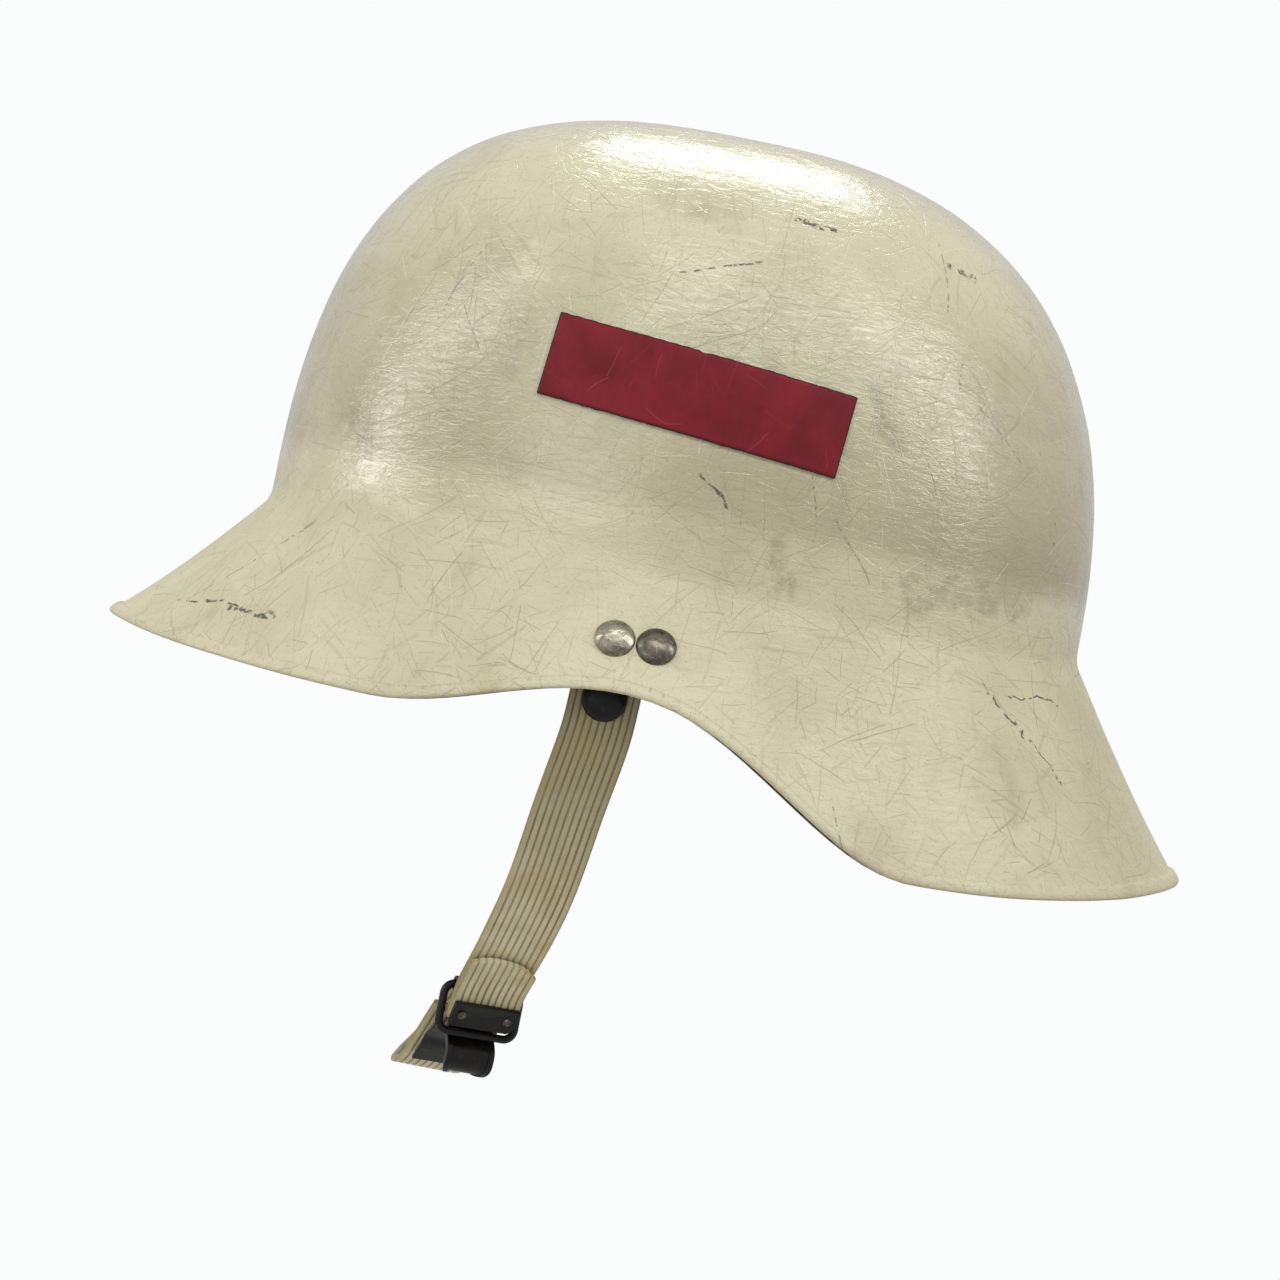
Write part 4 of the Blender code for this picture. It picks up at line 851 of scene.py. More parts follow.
def make_rivets(side, word):
    spots = [skin_point(x, RIVET_Z, side) for x in RIVET_XS]
    slope = sum((normal for _, normal in spots), Vector()) * Vector((0.0, 1.0, 1.0))
    for (point, _), end, metal in zip(spots, ("front", "rear"), (nickel, brown_nickel)):
        line = [(radius * MM, height * MM) for radius, height in RIVET_LINE]
        line += [(2.0 * MM, RIVET_TAIL), (3.2 * MM, RIVET_TAIL)]
        line += [(3.0 * MM, RIVET_TAIL - 0.6 * MM), (2.2 * MM, RIVET_TAIL - 1.1 * MM)]
        line += [(0.0, RIVET_TAIL - 1.3 * MM)]
        name = word + "_" + end
        bm = turned(line, placement_along(point, slope), 64)
        rivet = finish_piece("domed_rivet_" + name, bm, "helmet", metal)
        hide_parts("shell_rivet_" + name)


make_rivets(-1, "left")
make_rivets(1, "right")
print("rivet tail at", round(RIVET_TAIL / MM, 2), "mm from the skin")

# %% [markdown]
# ## Finer copies of pressed and moulded parts
# Brackets, washers and buffers already have the right shape, but their edges are
# sharp. A copy of each is welded, its flat faces are joined, and its edges are
# bevelled, because it is the narrow bright line along an edge that tells the eye
# that a part is pressed steel or moulded rubber.

# %% Bevelled copies
def refined(node, name, body, material, width, segments=2, angle=35.0):
    bm = bmesh.new()
    bm.from_mesh(frame["nodes"][node].data)
    bmesh.ops.remove_doubles(bm, verts=bm.verts[:], dist=0.00002)
    bmesh.ops.dissolve_limit(
        bm, angle_limit=math.radians(1.0), verts=bm.verts[:], edges=bm.edges[:],
    )
    sharp = [
        edge for edge in bm.edges
        if len(edge.link_faces) == 2 and edge.calc_face_angle() > math.radians(angle)
    ]
    bmesh.ops.bevel(
        bm, geom=sharp, offset=width, offset_type="OFFSET", segments=segments,
        profile=0.5, affect="EDGES", clamp_overlap=True, material=-1,
    )
    piece = finish_piece(name, bm, body, material, 50.0, 0.000001)
    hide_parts(node)
    return piece


for side in ("left", "right"):
    refined("side_bracket_" + side, "strap_bracket_" + side, "helmet", steel, 0.25 * MM)
    for end in ("front", "rear"):
        node = "rivet_washer_" + side + "_" + end
        refined(node, "plain_washer_" + side + "_" + end, "helmet", nickel, 0.12 * MM)
print("brackets and washers bevelled")

# %% [markdown]
# ## Plastics and rubber
# The hoop and bands are injection moulded in dark plastic with a fine spark-eroded
# texture. The buckle is blacker and glossier, with few scratches. The buffers are matt
# rubber.

# %% Moulded plastic and rubber finishes
def make_plastic(name, colour_a, colour_b, rough, grain=2200.0, scuffed=0.3):
    f = Finish(name)
    cloudy = f.noise(120.0, 5.0, 0.6)
    colour = f.mix(f.steps(cloudy, 0.35, 0.7), colour_a, colour_b)
    plane = facing_plane(f)
    lines = scratches(f, plane, ((5.0, 0.12, 0.7, 2.7, 0.25), (3.0, 0.08, 0.7, 6.9, 0.25)))
    pale = tuple(min(1.0, part * 3.5 + 0.04) for part in colour_a)
    colour = f.mix(f.math("MULTIPLY", lines, scuffed), colour, pale)
    dust = f.steps(f.noise(420.0, 5.0, 0.7), 0.56, 0.74, 0.0, 0.35)
    colour = f.mix(f.math("MULTIPLY", dust, scuffed * 2.5), colour, (0.16, 0.145, 0.115))
    normal = f.bump(f.noise(grain, 2.0), 0.06 * MM, 0.55)
    normal = f.bump(f.math("SUBTRACT", 1.0, lines), 0.04 * MM, 0.5, normal)
    value = f.steps(cloudy, 0.3, 0.7, rough - 0.07, rough + 0.1)
    return f.done(colour, value, normal, Specular_IOR_Level=0.28)


liner_plastic = make_plastic("liner_plastic", (0.030, 0.030, 0.032), (0.048, 0.047, 0.045), 0.48)
buckle_plastic = make_plastic(
    "buckle_plastic", (0.0055, 0.0048, 0.0046), (0.010, 0.0086, 0.008), 0.34, 1500.0, 0.16
)
rubber = make_plastic("buffer_rubber", (0.020, 0.020, 0.020), (0.040, 0.039, 0.037), 0.78, 900.0, 0.15)
print("plastics and rubber ready")

# %% [markdown]
# ## Strap buttons
# A black button pivots each strap end on its bracket. It is a low dome with a soft
# shoulder, made by turning a profile.

# %% Buttons
PIVOT = (-12.5 * MM, -36.2 * MM)
LEG_Y = 89.5 * MM
BRACKET_WALL = 1.6 * MM
STRAP_WALL = 1.8 * MM
BUTTON_LINE = (
    (0.0, 3.0), (1.6, 2.96), (3.0, 2.86), (4.2, 2.64), (5.1, 2.26), (5.7, 1.75), (6.05, 1.15),
    (6.2, 0.6), (6.1, 0.15), (5.8, 0.0), (2.5, 0.0),
)
for side, word in ((-1.0, "left"), (1.0, "right")):
    under = BRACKET_WALL / 2 + GAP + STRAP_WALL + GAP
    behind = -BRACKET_WALL / 2 - GAP
    line = [(radius * MM, under + height * MM) for radius, height in BUTTON_LINE]
    line += [(2.5 * MM, behind), (4.2 * MM, behind), (3.8 * MM, behind - 1.1 * MM)]
    line += [(0.0, behind - 1.2 * MM)]
    spot = placement_along(Vector((PIVOT[0], side * LEG_Y, PIVOT[1])), Vector((0.0, side, 0.0)))
    bm = turned(line, spot, 64)
    button = finish_piece("pivot_button_" + word, bm, "helmet", buckle_plastic)
    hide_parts("strap_button_" + word)
print("buttons stand", round(under / MM, 2), "mm off the bracket")

# %% [markdown]
# ## Chin strap
# The strap is extruded vinyl with ten round ribs along it. Light goes a little way into
# it, and brown grease has settled between the ribs. Its top end, near the bracket, is
# darkened with painted shade. The ribbed cross-section is drawn along a smooth route,
# turning gradually so that the strap lies flat on the bracket above and flat in the buckle below.

# %% Ribbed vinyl finish
STRAP_WIDTH = 19.4 * MM
RIBS = 10
RIB_DEPTH = 0.32 * MM


def make_vinyl():
    f = Finish("ribbed_vinyl")
    along = f.attribute("along")
    across = f.attribute("across")
    rib = f.math("FRACT", f.math("ADD", f.math("MULTIPLY", across, RIBS / STRAP_WIDTH), 20.0))
    off_rib = f.math("ABSOLUTE", f.math("SUBTRACT", rib, 0.5))
    groove = f.steps(off_rib, 0.22, 0.50)
    cloudy = f.noise(130.0, 5.0, 0.6)
    colour = f.mix(f.steps(cloudy, 0.35, 0.7), (0.680, 0.620, 0.410), (0.580, 0.520, 0.320))
    # Painted shade: the first 15 mm of the strap below the bracket is darkened, fading out by 88 mm.
    high = f.math("MULTIPLY", f.steps(along, 88.0 * MM, 15.0 * MM), 0.72)
    colour = f.mix(high, colour, (0.340, 0.305, 0.180))
    worn = f.steps(f.noise(60.0, 3.0, 0.5), 0.3, 0.62, 0.55, 0.95)
    colour = f.mix(f.math("MULTIPLY", groove, worn), colour, (0.225, 0.160, 0.048))
    edge = f.steps(f.math("ABSOLUTE", across), STRAP_WIDTH * 0.40, STRAP_WIDTH * 0.5, 0.0, 0.40)
    colour = f.mix(edge, colour, (0.300, 0.235, 0.095))
    amber = f.math("MULTIPLY", f.steps(f.noise(45.0, 3.0, 0.5), 0.5, 0.7), 0.35)
    colour = f.mix(amber, colour, (0.480, 0.370, 0.140))
    size = f.steps(f.noise(80.0, 2.0), 0.5, 0.75, 0.0, 0.16)
    specks = f.math("LESS_THAN", f.cells(420.0).outputs["Distance"], size)
    colour = f.mix(f.math("MULTIPLY", specks, 0.7), colour, (0.12, 0.09, 0.05))
    nicks = f.noise(1.0, 3.0, 0.6, stretch=(500.0, 500.0, 2600.0))
    normal = f.bump(nicks, 0.08 * MM, 0.6)
    ripple = f.math("SINE", f.math("MULTIPLY", along, math.tau / (2.3 * MM)))
    normal = f.bump(f.math("MULTIPLY", ripple, f.noise(90.0, 2.0)), 0.03 * MM, 0.5, normal)
    material = f.done(colour, f.steps(cloudy, 0.3, 0.7, 0.34, 0.50), normal, Specular_IOR_Level=0.35)
    f.shader.inputs["Subsurface Weight"].default_value = 0.30
    f.shader.inputs["Subsurface Radius"].default_value = (1.0, 0.75, 0.35)
    f.shader.inputs["Subsurface Scale"].default_value = 1.2 * MM
    return material


vinyl = make_vinyl()


def ribbed_outline(width, wall, depth, points_per_rib=6):
    """A flat strap section with round ribs on both faces."""
    line = []
    total = RIBS * points_per_rib
    for face in (1.0, -1.0):
        for i in range(total + 1):
            share = i / total
            local = 2.0 * ((share * RIBS) % 1.0) - 1.0
            crown = math.sqrt(max(0.0, 1.0 - local * local))
            height = wall / 2 - depth * (1.0 - crown)
            if i in (0, total):
                height = wall / 2 - depth * 1.6
            line.append((face * (share - 0.5) * width, face * height))
    return line


print("ribs are", round(STRAP_WIDTH / RIBS / MM, 2), "mm apart")

# %% Route of the straps
BUCKLE_CENTRE = Vector((-28.9, -58.0, -127.7)) * MM
BUCKLE_YAW = math.radians(20.0)
BUCKLE_TILT = math.radians(31.0)
BUCKLE = Matrix.Translation(BUCKLE_CENTRE) @ (
    Matrix.Rotation(BUCKLE_YAW, 4, "Z") @ Matrix.Rotation(BUCKLE_TILT, 4, "X")
)
SIDE_ROUTE = ((-13.1, 91.6, -47.5), (-15.9, 87.6, -66.2), (-19.2, 79.5, -90.0), (-23.3, 72.0, -107.0))
CHIN_ROUTE = (
    (-29.5, 56.0, -128.5), (-37.5, 37.0, -144.5), (-42.5, 14.0, -151.5),
    (-43.0, -10.0, -151.8), (-39.5, -29.0, -147.0),
)
FOLD_PITCH = 2.6 * MM
TAIL_LENGTH = 22.0 * MM
STRAP_END_DEPTH = 9.8 * MM


def at_buckle(x, y, z):
    return BUCKLE @ Vector((x, y, z))


def strap_yaw(y):
    reach = abs(BUCKLE_CENTRE.y)
    share = abs(y) / reach
    if share > 1.0:
        high = SIDE_ROUTE[0][1] * MM
        share = max(0.0, (high - abs(y)) / (high - reach))
    return -math.copysign(1.0, y) * BUCKLE_YAW * share


def strap_places(route):
    places = []
    for i, point in enumerate(route):
        tangent = (route[min(i + 1, len(route) - 1)] - route[max(i - 1, 0)]).normalized()
        yaw = strap_yaw(point.y)
        width = Vector((math.cos(yaw), math.sin(yaw), 0.0))
        width = (width - tangent * width.dot(tangent)).normalized()
        places.append(placement(point, width, tangent.cross(width)))
    return places


def side_stations(side):
    strap_y = LEG_Y + BRACKET_WALL / 2 + GAP + STRAP_WALL / 2
    stations = [Vector((PIVOT[0], side * strap_y, PIVOT[1] + 7.0 * MM))]
    stations.append(Vector((PIVOT[0], side * strap_y, PIVOT[1])))
    stations += [Vector((x, side * y, z)) * MM for x, y, z in SIDE_ROUTE]
    return stations


print("buckle centre", [round(part / MM, 1) for part in BUCKLE_CENTRE])


# %% Left strap with its folded tail
def left_places():
    """Down to the buckle, half round the fold, and back up outside."""
    stations = side_stations(-1.0)
    stations += [at_buckle(0, 0, level * MM) for level in (9.0, 3.0, -1.6)]
    places = strap_places(smooth_route(stations, 1.6 * MM))
    radius = FOLD_PITCH / 2
    width = BUCKLE.col[0].to_3d()
    inward = BUCKLE.col[1].to_3d()
    bend = []
    for step in range(1, 10):
        turn = math.radians(18.0 * step)
        spot = at_buckle(0, -radius + radius * math.cos(turn), -1.6 * MM - radius * math.sin(turn))
        lean = Matrix.Rotation(-turn, 3, width)
        bend.append(placement(spot, width, lean @ -inward))
    tail = []
    length = 0.0
    for place in reversed(places):
        outward = place.col[1].to_3d()
        if outward.y > 0:
            outward = -outward
        spot = place.translation + outward * FOLD_PITCH
        if tail:
            length += (spot - tail[-1].translation).length
        if length > TAIL_LENGTH:
            break
        tail.append(placement(spot, place.col[0].to_3d(), -outward))
    return places, bend, tail


places, bend, tail = left_places()
first_way = places[-1].col[1].to_3d().dot(bend[0].col[1].to_3d())
print("fold turns the same way:", first_way > 0, "points", len(places), len(bend), len(tail))


# %% Draw the left strap
def make_left_strap():
    bm = drawn(ribbed_outline(STRAP_WIDTH, STRAP_WALL, RIB_DEPTH), places + bend + tail)
    layer = bm.verts.layers.float["along"]
    across = bm.verts.layers.float["across"]
    length = max(vert[layer] for vert in bm.verts)
    away = tail[-1].col[2].to_3d()
    for vert in bm.verts:
        near_end = max(0.0, 1.0 - (length - vert[layer]) / (6.0 * MM))
        share = abs(vert[across]) / (STRAP_WIDTH / 2)
        vert.co -= away * near_end * 3.2 * MM * share ** 2.6
    strap = finish_piece("ribbed_strap_left", bm, "chin_strap", vinyl, 60.0)
    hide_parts("chin_strap_left")
    return length


print("left strap is", round(make_left_strap() / MM), "mm long")


# %% Right strap, which ends on the hook plate
def right_route():
    stations = side_stations(1.0)
    stations += [Vector(point) * MM for point in CHIN_ROUTE]
    stations.append(at_buckle(0, STRAP_END_DEPTH, -8.5 * MM))
    return smooth_route(stations, 1.8 * MM)


RIGHT_PLACES = strap_places(right_route())
bm = drawn(ribbed_outline(STRAP_WIDTH, STRAP_WALL, RIB_DEPTH), RIGHT_PLACES)
strap = finish_piece("ribbed_strap_right", bm, "chin_strap", vinyl, 60.0)
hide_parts("chin_strap_right")
print("right strap has", len(RIGHT_PLACES), "stations")

# %% [markdown]
# ## Buckle
# The buckle has a face plate riveted through the folded strap, a ring that swings
# in a sleeve behind it, and a hook on the other strap. The hook's lip catches the ring,
# and its rounded tab gives a finger something to push. Plates start as a box whose
# corners and edges are bevelled. The ring and the hook are drawn along their own lines.

# %% Face plate
PLATE_WALL = 1.6 * MM
PLATE_HIGH = 7.8 * MM
PLATE_FRONT = -(FOLD_PITCH + STRAP_WALL / 2 + GAP) - PLATE_WALL


def round_edges(bm, edges, offset, segments, clamp=False):
    bmesh.ops.bevel(
        bm, geom=edges, offset=offset, offset_type="OFFSET", segments=segments,
        profile=0.5, affect="EDGES", clamp_overlap=clamp, material=-1,
    )


def make_face_plate():
    bm = bmesh.new()
    size = Matrix.Diagonal((STRAP_WIDTH, PLATE_WALL, PLATE_HIGH, 1.0))
    bmesh.ops.create_cube(bm, size=1.0, matrix=size)
    upright = [edge for edge in bm.edges if abs(edge.verts[0].co.y - edge.verts[1].co.y) > MM]
    cut = [e for e in upright if e.verts[0].co.x > 0 and e.verts[0].co.z < 0]
    rest = [e for e in upright if e not in cut]
    round_edges(bm, cut, 2.0 * MM, 1)
    round_edges(bm, [e for e in rest if e.is_valid], 0.7 * MM, 3)
    front = [face for face in bm.faces if face.normal.y < -0.9]
    bmesh.ops.inset_region(bm, faces=front, thickness=0.9 * MM, depth=0.0, use_even_offset=True)
    inner = [face for face in front if face.is_valid]
    bmesh.ops.translate(bm, vec=(0.0, 0.28 * MM, 0.0), verts=list({v for f in inner for v in f.verts}))
    edges = [e for e in bm.edges if len(e.link_faces) == 2 and e.calc_face_angle() > 0.5]
    round_edges(bm, edges, 0.16 * MM, 2, clamp=True)
    bm.transform(BUCKLE @ Matrix.Translation((0.0, PLATE_FRONT + PLATE_WALL / 2, 0.0)))
    plate = finish_piece("buckle_face", bm, "chin_strap", buckle_plastic, 45.0, 0.0)
    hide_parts("buckle_plate")


make_face_plate()
refined(
    "buckle_back_plate", "ring_sleeve_plate", "chin_strap", buckle_plastic, 0.2 * MM
)
print("face plate stands", round(-PLATE_FRONT / MM, 1), "mm out")

# %% Buckle rivets
BUCKLE_RIVET_X = 6.7 * MM
head = -PLATE_FRONT - 0.1 * MM
tail_end = -(STRAP_WALL / 2 + GAP + 1.2 * MM) - GAP
for word, x in (("front", -BUCKLE_RIVET_X), ("rear", BUCKLE_RIVET_X)):
    line = [(0.0, head + 0.62 * MM), (0.7 * MM, head + 0.55 * MM), (1.15 * MM, head + 0.3 * MM)]
    line += [(1.3 * MM, head), (0.9 * MM, head - 0.1 * MM), (0.9 * MM, tail_end)]
    line += [(1.3 * MM, tail_end), (1.0 * MM, tail_end - 0.6 * MM), (0.0, tail_end - 0.6 * MM)]
    spot = BUCKLE @ placement_along(Vector((x, 0.0, 0.0)), Vector((0.0, -1.0, 0.0)))
    bm = turned(line, spot, 32)
    rivet = finish_piece("small_rivet_" + word, bm, "chin_strap", brown_nickel)
    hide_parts("buckle_rivet_" + word)
print("buckle rivets set")

# %% Swing ring
SLEEVE = Vector((0.0, STRAP_WALL / 2 + GAP + 1.2 * MM + 1.7 * MM, 3.6 * MM))
RING_BAR = 1.15 * MM
RING_HALF = STRAP_WIDTH / 2 + 0.35 * MM + RING_BAR
RING_LENGTH = math.hypot(7.1 * MM, 11.2 * MM)
RING_CORNER = 3.0 * MM


def make_ring():
    spots = []
    for way, level, start in ((1, 0, 90), (1, -1, 0), (-1, -1, -90), (-1, 0, -180)):
        middle_x = way * (RING_HALF - RING_CORNER)
        middle_z = -RING_CORNER if level == 0 else -RING_LENGTH + RING_CORNER
        for step in range(9):
            turn = math.radians(start - 90.0 * step / 8)
            out = Vector((math.cos(turn), 0.0, math.sin(turn)))
            spots.append((Vector((middle_x, 0.0, middle_z)) + out * RING_CORNER, out))
    spots.append(spots[0])
    swing = Matrix.Rotation(-math.atan2(7.1, 11.2), 4, "X")
    frame_here = BUCKLE @ Matrix.Translation(SLEEVE) @ swing
    line = [placement(spot, Vector((0.0, 1.0, 0.0)), out) for spot, out in spots]
    bm = drawn(round_bar(RING_BAR, 20), line, closed=True)
    bm.transform(frame_here)
    ring = finish_piece("swing_ring", bm, "buckle_ring", buckle_plastic)
    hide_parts("buckle_ring")


make_ring()
print("ring is", round(2 * RING_HALF / MM, 1), "mm wide")


# %% Hook and finger tab
HOOK_WIDTH = 15.0 * MM
HOOK_WALL = 1.2 * MM
LIP = ((4.6, -13.0), (1.6, -10.6), (0.4, -8.0), (-0.2, -6.2), (-1.7, -5.4))
TAB = (
    (1.8, -11.3), (-2.0, -11.6), (-4.6, -12.4), (-6.0, -14.4),
    (-6.2, -16.6), (-5.2, -18.6), (-3.2, -19.8),
)


def ribbon_places(points, width):
    result = []
    for i, point in enumerate(points):
        tangent = (points[min(i + 1, len(points) - 1)] - points[max(i - 1, 0)]).normalized()
        result.append(placement(point, width, tangent.cross(width)))
    return result


def make_hook():
    across = BUCKLE.col[0].to_3d()
    anchor = at_buckle(0, 0, -14.0 * MM)
    lift = STRAP_WALL / 2 + GAP + HOOK_WALL / 2
    line = []
    for place in RIGHT_PLACES:
        point = place.translation
        if point.y > 0 or point.z > anchor.z + 2.0 * MM or (point - anchor).length > 24.0 * MM:
            continue
        below = place.col[1].to_3d()
        if below.z > 0:
            below = -below
        line.append(point + below * lift)
    stations = [line[0], line[len(line) // 2], line[-1]]
    stations += [at_buckle(0, y * MM, z * MM) for y, z in LIP]
    line = ribbon_places(smooth_route(stations, 0.9 * MM), across)
    bm = drawn(rounded_bar(HOOK_WIDTH, HOOK_WALL, 0.4 * MM), line)
    hook = finish_piece("hook_plate", bm, "chin_strap", buckle_plastic, 50.0)
    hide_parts("buckle_hook")


def tab_outline(width, wall):
    """A strip whose outer face has raised borders and fine upright grooves."""
    line = []
    steps = 56
    for i in range(steps + 1):
        share = i / steps
        x = (share - 0.5) * width
        border = abs(x) > width / 2 - 1.7 * MM
        ridge = 0.07 * MM * math.cos(share * math.tau * 16)
        line.append((x, wall / 2 + (0.75 * MM if border else 0.15 * MM + ridge)))
    line += [(-x, -wall / 2) for x in (-width / 2, -width / 4, 0.0, width / 4, width / 2)]
    return line


def make_tab():
    across = BUCKLE.col[0].to_3d()
    route = smooth_route([at_buckle(0, y * MM, z * MM) for y, z in TAB], 0.6 * MM)
    bm = drawn(tab_outline(HOOK_WIDTH - MM, HOOK_WALL), ribbon_places(route, across))
    layer = bm.verts.layers.float["along"]
    side = bm.verts.layers.float["across"]
    length = max(vert[layer] for vert in bm.verts)
    for vert in bm.verts:
        near_end = max(0.0, 1.0 - (length - vert[layer]) / (6.0 * MM))
        vert.co -= across * vert[side] * 0.42 * near_end ** 2
    finish_piece("finger_tab", bm, "chin_strap", buckle_plastic, 40.0)


make_hook()
make_tab()
print("hook and tab made")

# %% [markdown]
# ## Hoop and bands
# A stiff hoop hangs between the two brackets, and six rubber buffers keep it off the
# dome. Inside it the head size is set by a front band and a sliding nape band. The hoop
# is a strip with rounded edges drawn round an oval plan; the bands are bevelled copies
# of the imported parts.

# %% Hoop
HOOP_LENGTH = 109.0 * MM
HOOP_WIDTH = 88.0 * MM
HOOP_POWER = 2.3
HOOP_WALL = 2.0 * MM
HOOP_LOW = -2.0 * MM
HOOP_HIGH = 16.0 * MM


def hoop_point(angle, inset=0.0):
    length = HOOP_LENGTH - inset
    return plan_curve(angle, length, length, HOOP_WIDTH - inset, HOOP_POWER)


def upright_places(points, level, closed=False):
    """Placements round a plan: X up the band, Y out of it."""
    result = []
    count = len(points)
    upward = Vector((0.0, 0.0, 1.0))
    for i, (x, y) in enumerate(points):
        ahead = points[(i + 1) % count] if closed else points[min(i + 1, count - 1)]
        behind = points[i - 1] if closed else points[max(i - 1, 0)]
        tangent = Vector((ahead[0] - behind[0], ahead[1] - behind[1], 0.0))
        result.append(placement(Vector((x, y, level)), upward, tangent.cross(upward)))
    return result + [result[0]] if closed else result


steps = 144
plan = [hoop_point(math.tau * i / steps, HOOP_WALL / 2) for i in range(steps)]
bm = drawn(
    rounded_bar(HOOP_HIGH - HOOP_LOW, HOOP_WALL, 0.8 * MM),
    upright_places(plan, (HOOP_HIGH + HOOP_LOW) / 2, closed=True), closed=True,
)
hoop = finish_piece("cradle_hoop", bm, "helmet", liner_plastic)
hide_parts("liner_hoop")
print("hoop", round(2 * HOOP_LENGTH / MM), "by", round(2 * HOOP_WIDTH / MM), "mm")

# %% Bands, buffers and spacers
refined("headband", "front_headband", "helmet", liner_plastic, 0.4 * MM)
refined("nape_band", "sliding_nape_band", "nape_band", liner_plastic, 0.35 * MM)
for number in range(1, 7):
    name = "rubber_buffer_%d" % number
    refined(name, "ribbed_buffer_%d" % number, "helmet", rubber, 0.5 * MM)
for word in ("front", "left", "right"):
    refined("band_spacer_" + word, "rubber_plug_" + word, "helmet", rubber, 0.3 * MM)
for node in sorted(frame["nodes"]):
    if "stud" in node:
        body = frame["nodes"][node]["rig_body"]
        refined(node, "press_" + node, body, nickel, 0.15 * MM)
print("bands, buffers, plugs and studs made")

# %% [markdown]
# ## Leather sweatband
# The band against the forehead is tan leather, darkened where it has been handled. It
# is stitched along both edges and punched with small holes. Stitches and holes follow
# the band, so they are drawn from the distances stored along and across it.

# %% Leather finish
HOLE_PITCH = 7.0 * MM


def make_leather():
    f = Finish("tan_leather")
    along = f.attribute("along")
    across = f.attribute("across")
    cloudy = f.noise(26.0, 5.0, 0.6, warp=0.4)
    colour = f.mix(f.steps(cloudy, 0.35, 0.7), (0.300, 0.150, 0.070), (0.150, 0.070, 0.034))
    sweat = f.steps(f.noise(12.0, 3.0), 0.42, 0.66)
    colour = f.mix(f.math("MULTIPLY", sweat, 0.6), colour, (0.075, 0.036, 0.020))
    grain = f.cells(850.0, feature="DISTANCE_TO_EDGE").outputs["Distance"]
    crease = f.steps(grain, 0.0, 0.16)
    colour = f.mix(f.steps(grain, 0.10, 0.0, 0.0, 0.5), colour, (0.06, 0.03, 0.018))
    off_row = f.math("ABSOLUTE", f.math("SUBTRACT", f.math("ABSOLUTE", across), 12.3 * MM))
    on_row = f.steps(off_row, 0.55 * MM, 0.35 * MM)
    stitch = f.steps(f.math("ABSOLUTE", f.beat(along, 3.4 * MM)), 0.38, 0.30)
    stitch = f.math("MULTIPLY", on_row, stitch)
    colour = f.mix(stitch, colour, (0.62, 0.56, 0.42))
    spot = f.add("ShaderNodeCombineXYZ")
    f.put(spot.inputs[0], f.beat(along, HOLE_PITCH))
    f.put(spot.inputs[1], f.beat(across, HOLE_PITCH))
    size = f.add("ShaderNodeVectorMath", operation="LENGTH")
    f.put(size.inputs[0], spot.outputs[0])
    hole = f.math("LESS_THAN", size.outputs["Value"], 0.12)
    hole = f.math("MULTIPLY", hole, f.math("LESS_THAN", f.math("ABSOLUTE", across), 8.0 * MM))
    colour = f.mix(hole, colour, (0.012, 0.008, 0.006))
    normal = f.bump(crease, 0.12 * MM, 0.7)
    normal = f.bump(f.noise(90.0, 3.0), 0.5 * MM, 0.4, normal)
    normal = f.bump(f.math("SUBTRACT", stitch, hole), 0.35 * MM, 0.9, normal)
    return f.done(colour, f.steps(cloudy, 0.3, 0.7, 0.42, 0.62), normal)


leather = make_leather()
print("leather ready")

# %% Sweatband
BAND_SIDE = 80.0 * MM
BAND_WALL = 1.4 * MM
BAND_FRONT = 99.0 * MM
BAND_ARC_START = -22.0 * MM
SWEAT_WALL = 1.6 * MM
SWEAT_END = -16.0 * MM
SWEAT_LOW = -16.0 * MM
SWEAT_HIGH = 14.0 * MM
inset = BAND_WALL / 2 + GAP + SWEAT_WALL / 2
arc = []
for i in range(121):
    turn = math.pi * i / 120 - math.pi / 2
    reach = -BAND_FRONT + inset - BAND_ARC_START
    arc.append((BAND_ARC_START + reach * math.cos(turn), -(BAND_SIDE - inset) * math.sin(turn)))
plan = [(SWEAT_END, BAND_SIDE - inset)] + arc + [(SWEAT_END, -(BAND_SIDE - inset))]
bm = drawn(
    rounded_bar(SWEAT_HIGH - SWEAT_LOW, SWEAT_WALL, 0.7 * MM),
    upright_places(plan, (SWEAT_HIGH + SWEAT_LOW) / 2),
)
band = finish_piece("leather_sweatband", bm, "helmet", leather)
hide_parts("sweatband")
print("sweatband has", len(plan), "stations")

# %% [markdown]
# ## Crown straps and pad
# Three woven straps cross over the head and are pressed on to the hoop with studs. The
# weave, the darker edge cords and the two rows of stitches follow the strap.

# %% Webbing finish
CROWN_WIDTH = 20.0 * MM


